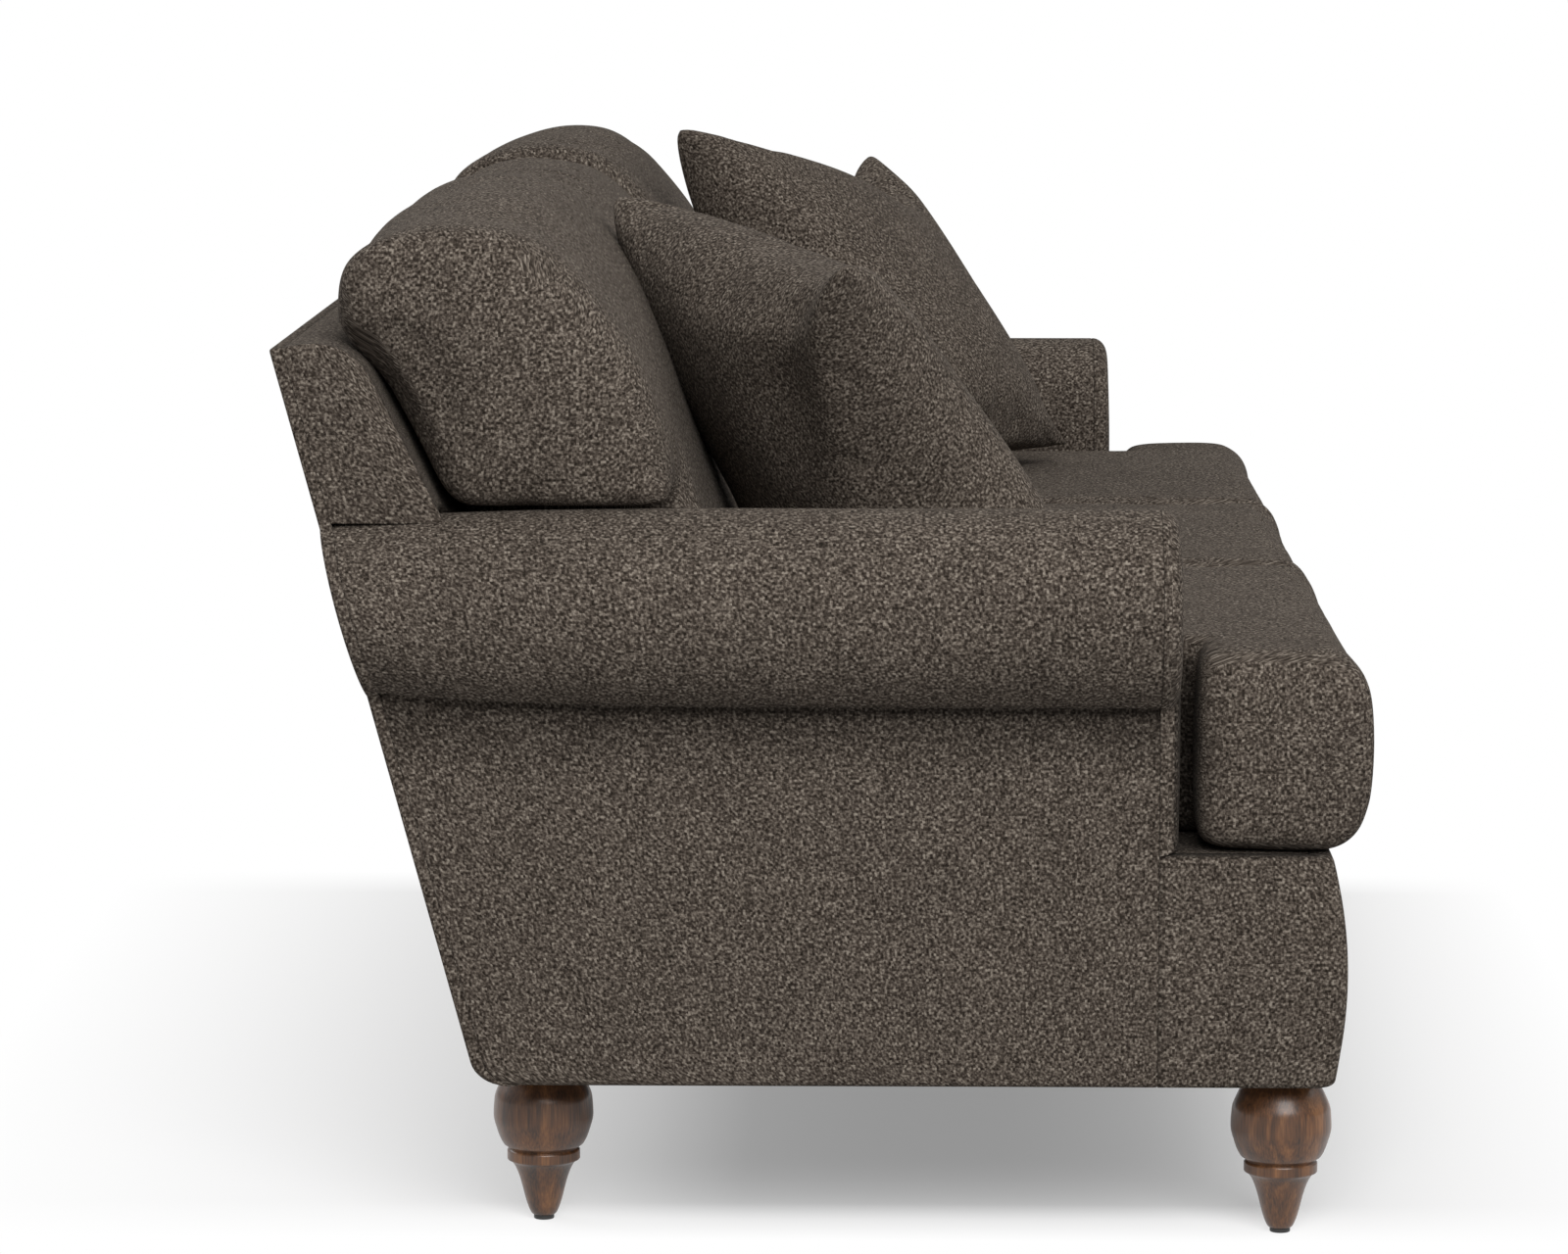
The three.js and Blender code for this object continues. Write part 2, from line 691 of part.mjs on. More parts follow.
function seatRing(x, rear, draw) {
  const foot = deckTop + seam + draw / 4;
  const top = seatTop - draw * 0.8;
  const front = seatFront + draw * 0.8;
  const back = rear - draw;
  const point = (y, share) => new THREE.Vector3(x, y, THREE.MathUtils.lerp(foot, top, share));
  const nose = seatFrontShares.map(([up, inward]) => point(front + seatNose * inward, up));
  const heel = seatRearShares.map(([up, inward]) => point(back - seatEndDraw * inward, up));
  return [...nose, ...heel];
}

// Rows give [distance from the end as a share of the draw, draw as a share] for a rounded end.
const endRoundShares = [
  [0, 1],
  [0.2, 0.45],
  [0.6, 0.12],
  [1.2, 0],
];
const crownShares = [0.25, 0.5, 0.75];

function seatCushion(name, low, high, ear) {
  const rear = insideY(deckTop) - seatRearGap;
  const earRear = armSeamY - facingDepth - seam - earGap;
  const rings = [];
  const start = ear < 0 ? earRear : rear;
  const end = ear > 0 ? earRear : rear;
  const earLength = panelHalf - earSetback - (armInner - cushionGap);
  const first = ear < 0 ? low - earLength : low;
  const last = ear > 0 ? high + earLength : high;
  endRoundShares.forEach(([away, drawn]) => {
    rings.push(seatRing(first + seatEndDraw * away, start, seatEndDraw * drawn));
  });
  if (ear < 0) rings.push(seatRing(low, start, 0), seatRing(low + cushionGap, rear, 0));
  if (ear > 0) rings.push(seatRing(high - cushionGap, rear, 0), seatRing(high, end, 0));
  [...endRoundShares].reverse().forEach(([away, drawn]) => {
    rings.push(seatRing(last - seatEndDraw * away, end, seatEndDraw * drawn));
  });
  place(name, loft(rings, true), tweed());
}

// Back cushions. Rows give [share of the height, share of the depth from the front of the foot].
const backFrontShares = [
  [0, 0],
  [0.235, 0.105],
  [0.43, 0.18],
  [0.6, 0.247],
  [0.72, 0.315],
  [0.84, 0.414],
  [0.9375, 0.512],
  [0.985, 0.58],
  [1, 0.65],
];
const backRearShares = [
  [0, 0.54],
  [0.69, 0.918],
  [0.76, 0.985],
  [0.82, 1],
  [0.88, 0.99],
  [0.93, 0.934],
  [0.97, 0.852],
  [0.9925, 0.77],
  [1, 0.65],
];
const backLevelShares = [0, 0.06, 0.25, 0.45, 0.62, 0.75, 0.84, 0.9, 0.95, 0.985, 1];

function shareUp(z) {
  return THREE.MathUtils.clamp((z - seatTop) / backCushionRise, 0, 1);
}

// Front of the foot of the back cushions: they lean on the inside back.
const backFootFront = insideY(seatTop) - backCushionLean - backCushionDepth * backRearShares[0][1];

function backRing(x, foot, top, draw, fall) {
  const height = backCushionRise;
  const share = (z) => (z - seatTop) / height;
  const low = foot + draw / 3;
  const high = top - draw - fall;
  const levels = backLevelShares.map((up) => THREE.MathUtils.lerp(low, high, up));
  const full = (z) => share(z) * (height / (high + draw - seatTop)) * 1;
  const front = levels.map((z) => {
    const y = backFootFront + backCushionDepth * between(backFrontShares, Math.min(full(z + draw * 0.5), 1));
    return new THREE.Vector3(x, y + draw * 0.7, z);
  });
  const rear = levels.map((z) => {
    const y = backFootFront + backCushionDepth * between(backRearShares, Math.min(full(z), 1));
    return new THREE.Vector3(x, y - draw * 0.35, z);
  });
  const crest = front[front.length - 1].clone().lerp(rear[rear.length - 1], 0.5);
  return [...front.slice(0, -1), crest, ...rear.slice(0, -1).reverse()];
}

function backCushion(name, low, high, ear, drop) {
  const foot = seatTop + seam;
  const earFoot = armCrest + armCushionGap;
  const top = seatTop + backCushionRise - drop;
  const width = high - low;
  const earLength = panelHalf - earSetback - (armInner - cushionGap);
  const first = ear < 0 ? low - earLength : low;
  const last = ear > 0 ? high + earLength : high;
  const startFoot = ear < 0 ? earFoot : foot;
  const endFoot = ear > 0 ? earFoot : foot;
  const rings = [];
  const roundEnd = [1, 0.5, 0.2, 0].map((drawn, i) => [[0, 0.12, 0.45, 1][i], drawn]);
  roundEnd.forEach(([away, drawn]) => {
    rings.push(backRing(first + backEndRound * away, startFoot, top, backEndDraw * drawn, backCrownFall));
  });
  if (ear < 0) {
    rings.push(backRing(low, startFoot, top, 0, backCrownFall));
    rings.push(backRing(low + cushionGap, foot, top, 0, backCrownFall));
  }
  crownShares.forEach((share) => {
    rings.push(backRing(low + width * share, foot, top, 0, backCrownFall * (1 - Math.sin(Math.PI * share))));
  });
  if (ear > 0) {
    rings.push(backRing(high - cushionGap, foot, top, 0, backCrownFall));
    rings.push(backRing(high, endFoot, top, 0, backCrownFall));
  }
  [...roundEnd].reverse().forEach(([away, drawn]) => {
    rings.push(backRing(last - backEndRound * away, endFoot, top, backEndDraw * drawn, backCrownFall));
  });
  place(name, loft(rings, true), tweed());
}

function cushions() {
  const outer = armInner - cushionGap;
  const inner = seatThird / 2;
  const half = cushionGap / 2;
  const rows = [
    { word: "left", low: -outer, high: -inner - half, ear: -1, drop: 0 },
    { word: "middle", low: -inner + half, high: inner - half, ear: 0, drop: middleBackDrop },
    { word: "right", low: inner + half, high: outer, ear: 1, drop: 0 },
  ];
  rows.forEach(({ word, low, high, ear, drop }) => {
    seatCushion(`seat_cushion_${word}`, low, high, ear);
    backCushion(`back_cushion_${word}`, low, high, ear, drop);
  });
}

// Pillows: a square drawn in along its edges, fat in the middle and sharp at the seam
const pillowSteps = 14;
const pillowFatness = 0.46;

function pillow({ word, sign, higher, lean, turn, tilt }) {
  const up = new THREE.Vector3(0, 0, 1);
  const tipX = sign * (armInner - pillowTipInset);
  const tip = new THREE.Vector3(tipX, backFootFront - pillowTipForward, seatTop + pillowTipRise + higher);
  const inward = new THREE.Vector3(-sign * Math.cos(turn), Math.sin(turn), 0);
  const facing = new THREE.Vector3(-sign * Math.sin(turn), -Math.cos(turn), 0);
  const height = up.clone().multiplyScalar(Math.cos(lean)).addScaledVector(facing, -Math.sin(lean));
  const width = inward.clone().multiplyScalar(Math.cos(tilt)).addScaledVector(height, Math.sin(tilt));
  const outward = facing.clone().multiplyScalar(Math.cos(lean)).addScaledVector(up, Math.sin(lean));
  const half = pillowSide / 2;
  const centre = tip.clone().addScaledVector(width, half).addScaledVector(height, -half);
  const lowest = centre.z - half * (height.z + width.z);
  const drawn = pillowDraw / half;

  // Below a certain height the filling gives way: the foot comes to rest on the seat.
  const foot = seatTop + seam;
  const sunk = (z) => Math.exp(Math.min(z - foot - pillowSettle, 0) / pillowSettle);
  const settle = (z) => {
    if (z > foot + pillowSettle) return z;
    return foot + (pillowSettle * (sunk(z) - sunk(lowest))) / (1 - sunk(lowest));
  };
  const leanedOn = (z) => backFootFront - seam + backCushionDepth * between(backFrontShares, shareUp(z));

  const point = (u, v, face) => {
    const fat = Math.max((1 - u * u) * (1 - v * v), 0) ** pillowFatness;
    const at = centre
      .clone()
      .addScaledVector(width, half * u * (1 - drawn * (1 - v * v)))
      .addScaledVector(height, half * v * (1 - drawn * (1 - u * u)))
      .addScaledVector(outward, (face * fat * pillowBelly) / 2);
    at.z = settle(at.z);
    at.y = Math.min(at.y, leanedOn(at.z));
    return at;
  };

  const points = [];
  const indices = new Map();
  const indexOf = (i, j, face) => {
    const edge = i === 0 || j === 0 || i === pillowSteps || j === pillowSteps;
    const key = `${i} ${j} ${edge ? 0 : face}`;
    if (!indices.has(key)) {
      indices.set(key, points.length);
      points.push(point((2 * i) / pillowSteps - 1, (2 * j) / pillowSteps - 1, face));
    }
    return indices.get(key);
  };
  const triangles = [];
  [1, -1].forEach((face) => {
    for (let i = 0; i < pillowSteps; i += 1) {
      for (let j = 0; j < pillowSteps; j += 1) {
        const a = indexOf(i, j, face);
        const b = indexOf(i + 1, j, face);
        const c = indexOf(i + 1, j + 1, face);
        const d = indexOf(i, j + 1, face);
        if (face > 0) triangles.push([a, b, c], [a, c, d]);
        else triangles.push([a, c, b], [a, d, c]);
      }
    }
  });
  place(`pillow_${word}`, indexed(points.flatMap((at) => at.toArray()), triangles), tweed());
}

rails();
legPlates();
dustCover();
backFrame();
springs();
straps();
deck();
sides.forEach(armStump);
sides.forEach(armBoard);
sides.forEach(armCover);
sides.forEach(armFacing);
backCover();
outsideBack();
frontBorder();
legs();
cushions();
pillowPoses.forEach(pillow);

export default sofa;
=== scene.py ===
"""Looks of an english roll arm sofa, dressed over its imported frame.

Metres, Z up. X runs along the sofa and its front is at -Y. "left" is the -X end.
"""

from __future__ import annotations

import json
import logging
import math
from dataclasses import dataclass
from enum import Enum

import bpy
import numpy as np
from mathutils import Matrix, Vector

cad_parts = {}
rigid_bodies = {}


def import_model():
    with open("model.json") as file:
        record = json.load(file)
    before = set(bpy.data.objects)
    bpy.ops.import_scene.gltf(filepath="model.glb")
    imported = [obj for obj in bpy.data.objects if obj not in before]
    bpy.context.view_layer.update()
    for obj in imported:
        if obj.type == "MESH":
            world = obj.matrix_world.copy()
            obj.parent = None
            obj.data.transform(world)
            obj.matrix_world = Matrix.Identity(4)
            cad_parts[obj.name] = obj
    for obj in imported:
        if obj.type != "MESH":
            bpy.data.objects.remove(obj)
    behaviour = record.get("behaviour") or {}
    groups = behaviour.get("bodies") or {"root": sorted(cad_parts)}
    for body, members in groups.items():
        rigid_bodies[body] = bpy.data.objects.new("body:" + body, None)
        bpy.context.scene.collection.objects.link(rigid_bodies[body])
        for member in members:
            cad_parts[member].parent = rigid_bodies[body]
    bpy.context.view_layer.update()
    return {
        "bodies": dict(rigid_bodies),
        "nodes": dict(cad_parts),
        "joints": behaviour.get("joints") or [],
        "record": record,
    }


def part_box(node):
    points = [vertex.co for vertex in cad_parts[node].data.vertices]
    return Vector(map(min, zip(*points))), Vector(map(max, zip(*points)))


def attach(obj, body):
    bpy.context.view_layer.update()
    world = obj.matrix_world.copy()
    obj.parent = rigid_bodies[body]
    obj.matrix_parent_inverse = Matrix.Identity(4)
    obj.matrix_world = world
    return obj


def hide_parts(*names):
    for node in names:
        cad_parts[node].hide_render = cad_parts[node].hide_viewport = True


Array = np.ndarray
Object = bpy.types.Object
Material = bpy.types.Material
Tree = bpy.types.NodeTree

log = logging.getLogger("roll_arm_sofa")

WEAVE = "weave"
# Point attribute that darkens the tweed at sewn lines and as painted shade in gaps and creases.
SEAM_AND_SHADE = "stitch_line"


class Side(Enum):
    """End of the sofa, with the sign of X there."""

    LEFT = -1
    MIDDLE = 0
    RIGHT = 1

    @property
    def word(self) -> str:
        """Word for this side in the names of the nodes."""
        return self.name.lower()


ENDS = (Side.LEFT, Side.RIGHT)


# Numbers


def eased(rows: Array | tuple, share: Array) -> Array:
    """Reads a table of [share, value] rows as a smooth curve that never overshoots.

    The curve is a cubic between rows. Its slope at a row is the harmonic mean of the slopes on both sides,
    and zero where they differ in sign.

    Args:
        rows: rows of [share, value], shares rising.
        share: where to read it.

    Returns:
        The values, in the form of share.
    """
    table = np.asarray(rows, float)
    x, y = table[:, 0], table[:, 1]
    step = np.diff(x)
    rise = np.diff(y) / step
    slope = np.zeros_like(y)
    slope[0], slope[-1] = rise[0], rise[-1]
    same = rise[:-1] * rise[1:] > 0
    before, after = 2 * step[1:] + step[:-1], step[1:] + 2 * step[:-1]
    safe_low, safe_high = np.where(same, rise[:-1], 1), np.where(same, rise[1:], 1)
    slope[1:-1] = np.where(same, (before + after) / (before / safe_low + after / safe_high), 0)
    at = np.clip(np.asarray(share, float), x[0], x[-1])
    i = np.clip(np.searchsorted(x, at, side="right") - 1, 0, len(step) - 1)
    t = (at - x[i]) / step[i]
    h00, h10 = (1 + 2 * t) * (1 - t) ** 2, t * (1 - t) ** 2
    h01, h11 = t * t * (3 - 2 * t), t * t * (t - 1)
    return h00 * y[i] + h10 * step[i] * slope[i] + h01 * y[i + 1] + h11 * step[i] * slope[i + 1]


def mix(low: Array | float, high: Array | float, share: Array | float) -> Array:
    """Value a share of the way from low to high."""
    return low + (high - low) * share


def above(value: Array, limit: Array | float, soft: float) -> Array:
    """Keeps values above a limit with a soft start.

    It is the limit plus soft times the logarithm of one plus exp((value - limit) / soft), so far above the
    limit the value stays as it is.

    Args:
        value: the values.
        limit: the limit.
        soft: how far from the limit the pressing starts, in metres.

    Returns:
        The values, all above the limit.
    """
    return limit + soft * np.logaddexp(0, (value - limit) / soft)


def below(value: Array, limit: Array | float, soft: float) -> Array:
    """Keeps values below a limit with a soft start, as above does above one."""
    return -above(-value, -np.asarray(limit), soft)


def stretched(value: Array, anchor: float, reach: float) -> Array:
    """Scales values about an anchor so that their far end comes to the given reach."""
    far = value.max() if reach > anchor else value.min()
    return anchor + (value - anchor) * np.clip((reach - anchor) / (far - anchor), 0.96, 1.06)


def rounding(share: Array) -> Array:
    """Quarter round: 1 at share 0, falling to 0 at share 1, as one minus the height of a circle."""
    left = np.clip(1 - np.asarray(share, float), 0, 1)
    return 1 - np.sqrt(1 - left * left)


def crowded(count: int, ends: float = 0.6) -> Array:
    """Shares from 0 to 1 that lie closer together at both ends.

    Args:
        count: how many.
        ends: 0 for even spacing, 1 for the strongest crowding.

    Returns:
        The shares, mixed from even ones and half a cosine wave.
    """
    even = np.linspace(0, 1, count)
    return mix(even, (1 - np.cos(np.pi * even)) / 2, ends)


def ripple(points: Array, length: float, seed: int, waves: int = 5) -> Array:
    """Slow, uneven rise and fall over a surface, from -1 to 1.

    It is the mean of a few sine waves in seeded directions, each about the given length.

    Args:
        points: points, the last axis holding x, y and z.
        length: typical length of a wave, in metres.
        seed: seed of the directions and phases.
        waves: how many sine waves.

    Returns:
        One value for each point.
    """
    rng = np.random.default_rng(seed)
    ways = rng.normal(size=(waves, 3))
    ways /= np.linalg.norm(ways, axis=1, keepdims=True)
    rate = 2 * np.pi / (length * rng.uniform(0.7, 1.6, waves))
    phase = rng.uniform(0, 2 * np.pi, waves)
    return np.sin((points @ ways.T) * rate + phase).sum(-1) / waves


def unit(value: Array | float) -> Array:
    """The value, kept between 0 and 1."""
    return np.clip(value, 0, 1)


def smooth(share: Array) -> Array:
    """A share that starts and ends gently: three times its square less twice its cube."""
    return share * share * (3 - 2 * share)


def bell(away: Array, width: Array | float) -> Array:
    """Bell curve of a distance: the exponential of minus the square of the distance over the width."""
    return np.exp(-((away / width) ** 2))


def quarter(count: int) -> Array:
    """Shares along a quarter round: one minus the cosine of even angles from 0 to a right angle."""
    return 1 - np.cos(np.linspace(0, np.pi / 2, count))


def abreast(rows: int, *parts: Array) -> Array:
    """Parts of a grid side by side, each repeated for all rows where it has only one."""
    return np.concatenate([np.broadcast_to(part, (rows, part.shape[1])) for part in parts], axis=1)


def nearest(points: Array, line: Array) -> Array:
    """Distance from each point to the nearest point of a finely divided line.

    Args:
        points: (count, 3) points.
        line: (samples, 3) points along the line.

    Returns:
        One distance for each point.
    """
    best = np.full(len(points), np.inf)
    for part in np.array_split(line, max(1, len(line) // 40)):
        gap = np.linalg.norm(points[:, None, :] - part[None, :, :], axis=2)
        best = np.minimum(best, gap.min(1))
    return best


def walked(line: Array) -> Array:
    """Length walked along a line up to each of its points."""
    return np.concatenate([[0], np.cumsum(np.linalg.norm(np.diff(line, axis=0), axis=1))])


def spaced(line: Array, share: Array) -> Array:
    """Points of a line at the given shares of its length."""
    run = walked(line)
    return np.stack([np.interp(share * run[-1], run, axis) for axis in line.T], axis=1)


def fine_ring(ring: Array, step: float = 0.004) -> Array:
    """A closed ring with its points spaced evenly, at most a step apart."""
    closed = np.concatenate([ring, ring[:1]])
    return spaced(closed, np.linspace(0, 1, max(2, int(walked(closed)[-1] / step))))


# Meshes


@dataclass
class Surface:
    """Points, faces and lie of the cloth of one closed surface.

    Fields:
        points: (count, 3) places in metres.
        faces: lists of corners.
        weave: (count, 2) place of each point on the flat cloth, in metres.
    """

    points: Array
    faces: list
    weave: Array

    def joined(self, other: "Surface") -> "Surface":
        """Puts this surface and another one together.

        Args:
            other: the other one.

        Returns:
            One surface with the points and faces of both.
        """
        shifted = [[i + len(self.points) for i in face] for face in other.faces]
        return Surface(
            np.concatenate([self.points, other.points]),
            self.faces + shifted,
            np.concatenate([self.weave, other.weave]),
        )

    def outward(self) -> "Surface":
        """Turns all faces over if the volume they enclose is negative.

        Returns:
            The same surface.
        """
        volume = 0.0
        for size in (3, 4):
            rows = np.array([f for f in self.faces if len(f) == size], int)
            for a, b in ((1, 2), (2, 3))[: size - 2] if len(rows) else ():
                p, q, r = self.points[rows[:, 0]], self.points[rows[:, a]], self.points[rows[:, b]]
                volume += float(np.einsum("ij,ij->", p, np.cross(q, r)))
        if volume < 0:
            self.faces = [face[::-1] for face in self.faces]
        return self

    def mesh(self, name: str) -> Object:
        """Puts this surface into the scene, shaded smooth, with the lie of its cloth.

        Args:
            name: name of the piece.

        Returns:
            The new object.
        """
        data = bpy.data.meshes.new(name)
        data.from_pydata(self.points.tolist(), [], self.faces)
        data.validate()
        lay_cloth(data, self.weave)
        square_cloth(data)
        data.shade_smooth()
        return placed(name, data)


def placed(name: str, data: bpy.types.ID, columns: tuple | None = None) -> Object:
    """Puts a new object into the scene.

    Args:
        name: its name.
        data: its mesh, lamp or camera.
        columns: its X, Y and Z directions and its place, where it isn't at the origin.

    Returns:
        The object.
    """
    item = bpy.data.objects.new(name, data)
    if columns is not None:
        matrix = np.eye(4)
        matrix[:3] = np.transpose(columns)
        item.matrix_world = Matrix(matrix.tolist())
    bpy.context.scene.collection.objects.link(item)
    return item


def read(items: bpy.types.bpy_prop_collection, name: str, width: int = 1) -> Array:
    """Reads one property of all points, corners or faces of a mesh.

    Args:
        items: the points, corners or faces.
        name: the property.
        width: how many numbers it has.

    Returns:
        (count,) values, or (count, width) where it has more than one number.
    """
    whole = name in ("vertices", "vertex_index", "loop_start", "loop_total")
    flat = np.zeros(len(items) * width, np.int32 if whole else np.float32)
    items.foreach_get(name, flat)
    return flat.reshape(-1, width) if width > 1 else flat


def lay_cloth(data: bpy.types.Mesh, weave: Array) -> None:
    """Stores the place on the flat cloth as a corner attribute.

    Args:
        data: the mesh.
        weave: (points, 2) for a value at each point, or (corners, 2) for one at each corner.
    """
    values = weave[read(data.loops, "vertex_index")] if len(weave) == len(data.vertices) else weave
    store = data.attributes.get(WEAVE) or data.attributes.new(WEAVE, "FLOAT_VECTOR", "CORNER")
    flat = np.zeros((len(data.loops), 3), np.float32)
    flat[:, :2] = values
    store.data.foreach_set("vector", flat.ravel())


def square_cloth(data: bpy.types.Mesh, poorest: float = 0.45) -> None:
    """Lays the cloth afresh on faces where it would be stretched, such as the rims between two faces.

    Such a face takes its corners' two coordinates across its main direction.

    Args:
        data: the mesh, with its cloth laid.
        poorest: least share of its own area that a face may have on the flat cloth.
    """
    start, size = read(data.polygons, "loop_start"), read(data.polygons, "loop_total")
    store = data.attributes[WEAVE]
    flat = read(store.data, "vector", 3)
    after = np.arange(len(flat)) + 1
    after[start + size - 1] = start
    cross = flat[:, 0] * flat[after, 1] - flat[after, 0] * flat[:, 1]
    lain = np.abs(np.add.reduceat(cross, start)) / 2
    poor = np.repeat(lain < poorest * read(data.polygons, "area"), size)
    points = read(data.vertices, "co", 3)[read(data.loops, "vertex_index")]
    main = np.repeat(np.abs(read(data.polygons, "normal", 3)).argmax(axis=1), size)
    flat[poor, 0] = np.where(main == 0, points[:, 1], points[:, 0])[poor]
    flat[poor, 1] = np.where(main == 2, points[:, 1], points[:, 2])[poor]
    store.data.foreach_set("vector", flat.ravel())


def mark_seams(data: bpy.types.Mesh, closeness: Array) -> None:
    """Stores how far the cloth darkens at each point: 1 on a sewn line, and up to 0.9 where shade is painted
    into gaps and creases.
    """
    store = data.attributes.get(SEAM_AND_SHADE) or data.attributes.new(SEAM_AND_SHADE, "FLOAT", "POINT")
    store.data.foreach_set("value", closeness.astype(np.float32))


def places(piece: Object) -> Array:
    """Points of a piece's mesh as a (count, 3) array."""
    return read(piece.data.vertices, "co", 3).astype(float)


def put(piece: Object, points: Array) -> None:
    """Moves the points of a piece's mesh to new places."""
    piece.data.vertices.foreach_set("co", points.astype(np.float32).ravel())
    piece.data.update()


def unrolled(grid: Array, by_line: bool = False) -> Array:
    """Place of each point of a grid on the flat cloth: the length walked from the middle both ways.

    Args:
        grid: (rows, columns, 3) points.
        by_line: each line keeps its own lengths. Otherwise all share the mean, so the threads stay square.

    Returns:
        (rows, columns, 2) lengths in metres, columns first.
    """
    sheet = np.zeros(grid.shape[:2] + (2,))
    for axis, into in ((1, 0), (0, 1)):
        steps = np.linalg.norm(np.diff(grid, axis=axis), axis=2)
        if not by_line:
            steps = np.broadcast_to(steps.mean(axis=1 - axis, keepdims=True), steps.shape)
        run = np.cumsum(steps, axis=axis)
        run = np.concatenate([np.zeros_like(np.take(run, [0], axis)), run], axis=axis)
        sheet[..., into] = run - np.take(run, [run.shape[axis] // 2], axis)
    return sheet


def shell(outer: Array, inner: Array) -> Surface:
    """Closed skin between two grids of the same size: both faces and the four edges between them.

    Args:
        outer: (rows, columns, 3) points of the show side.
        inner: the points behind them.

    Returns:
        The surface, facing outwards.
    """
    rows, columns = outer.shape[:2]
    index = np.arange(rows * columns).reshape(rows, columns)
    back = index + rows * columns
    bands = (
        (index[:-1, :-1], index[1:, :-1], index[1:, 1:], index[:-1, 1:]),
        (back[:-1, :-1], back[:-1, 1:], back[1:, 1:], back[1:, :-1]),
        (index[1:, 0], index[:-1, 0], back[:-1, 0], back[1:, 0]),
        (index[:-1, -1], index[1:, -1], back[1:, -1], back[:-1, -1]),
        (index[0, :-1], index[0, 1:], back[0, 1:], back[0, :-1]),
        (index[-1, 1:], index[-1, :-1], back[-1, :-1], back[-1, 1:]),
    )
    faces = np.concatenate([np.stack([corner.ravel() for corner in band], axis=1) for band in bands])
    cloth = unrolled(outer).reshape(-1, 2)
    points = np.concatenate([outer.reshape(-1, 3), inner.reshape(-1, 3)])
    return Surface(points, faces.tolist(), np.concatenate([cloth, cloth])).outward()


def tube(rings: Array, start: Array, end: Array) -> Surface:
    """Closed skin through rings of points, closed at both ends by a fan to one point.

    Args:
        rings: (rows, columns, 3) points, the last column next to the first.
        start: point that closes the first ring.
        end: point that closes the last ring.

    Returns:
        The surface, facing outwards. Its cloth runs round the rings and along the rows.
    """
    rows, columns = rings.shape[:2]
    index = np.arange(rows * columns).reshape(rows, columns)
    turned = np.roll(index, -1, axis=1)
    quads = np.stack([index[:-1].ravel(), turned[:-1].ravel(), turned[1:].ravel(), index[1:].ravel()], axis=1)
    first, last = rows * columns, rows * columns + 1
    low = np.stack([np.full(columns, first), turned[0], index[0]], axis=1)
    high = np.stack([np.full(columns, last), index[-1], turned[-1]], axis=1)
    points = np.concatenate([rings.reshape(-1, 3), [start, end]])
    cloth = np.concatenate([unrolled(rings).reshape(-1, 2), np.zeros((2, 2))])
    return Surface(points, quads.tolist() + low.tolist() + high.tolist(), cloth).outward()


def turned(profile: Array, x: float, y: float, around: int) -> Surface:
    """A turned form: a profile of [radius, height] carried round an upright axis.

    Args:
        profile: (count, 2) radius and height, from one pole to the other. Both end radii are zero.
        x: place of the axis.
        y: place of the axis.
        around: points in each ring.

    Returns:
        The closed surface. A point is the axis plus radius times (cos, sin) of its angle, at its height.
    """
    angle = np.linspace(0, 2 * np.pi, around, endpoint=False)
    radius, height = profile[1:-1, 0][:, None], profile[1:-1, 1][:, None]
    level = np.broadcast_to(height, (len(radius), around))
    rings = np.stack([x + radius * np.cos(angle), y + radius * np.sin(angle), level], axis=2)
    return tube(rings, np.array([x, y, profile[0, 1]]), np.array([x, y, profile[-1, 1]]))


def apply_modifiers(piece: Object) -> None:
    """Turns the live modifiers of a piece into its mesh.

    Args:
        piece: the piece.
    """
    evaluated = piece.evaluated_get(bpy.context.evaluated_depsgraph_get())
    data = bpy.data.meshes.new_from_object(evaluated)
    piece.modifiers.clear()
    old = piece.data
    piece.data = data
    bpy.data.meshes.remove(old)


def cut(piece: Object, tool: Surface) -> None:
    """Cuts a closed form out of a piece.

    Args:
        piece: the piece that loses material.
        tool: the form to take away.
    """
    cutter = tool.mesh("cutter")
    change = piece.modifiers.new("cut", "BOOLEAN")
    change.operation = "DIFFERENCE"
    change.solver = "EXACT"
    change.object = cutter
    apply_modifiers(piece)
    bpy.data.objects.remove(cutter)


def subdivided(piece: Object) -> None:
    """Adds a live subdivision surface of one level.

    Args:
        piece: the piece that gets it.
    """
    skin = piece.modifiers.new("skin", "SUBSURF")
    skin.levels = skin.render_levels = 1
    skin.uv_smooth = "PRESERVE_BOUNDARIES"


# Finishes


def linear(code: str) -> tuple[float, float, float, float]:
    """Turns an sRGB hex code such as #4d443d into a linear colour.

    Args:
        code: the hex code.

    Returns:
        Red, green, blue and alpha, each from 0 to 1.
    """
    parts = [int(code[i : i + 2], 16) / 255 for i in (1, 3, 5)]
    red, green, blue = (c / 12.92 if c <= 0.04045 else ((c + 0.055) / 1.055) ** 2.4 for c in parts)
    return (red, green, blue, 1.0)


def add(
    tree: Tree, kind: str, links: dict | None = None, values: dict | None = None, stops: tuple = (),
    **settings: object,
) -> bpy.types.Node:
    """Adds a node with its settings and links.

    Args:
        tree: the node tree.
        kind: the node's type without its ShaderNode, such as Math.
        links: sockets that feed its inputs, by input name or number.
        values: fixed values of its inputs, colours as hex codes.
        stops: (place, hex code) of each stop of a colour ramp.
        settings: properties of the node.

    Returns:
        The node.
    """
    node = tree.nodes.new(f"ShaderNode{kind}")
    for name, value in settings.items():
        setattr(node, name, value)
    for name, value in (values or {}).items():
        node.inputs[name].default_value = linear(value) if isinstance(value, str) else value
    for name, source in (links or {}).items():
        tree.links.new(source, node.inputs[name])
    for _ in stops[2:]:
        node.color_ramp.elements.new(0.5)
    for number, (place, code) in enumerate(stops):
        element = node.color_ramp.elements[number]
        element.position, element.color = place, linear(code)
    return node


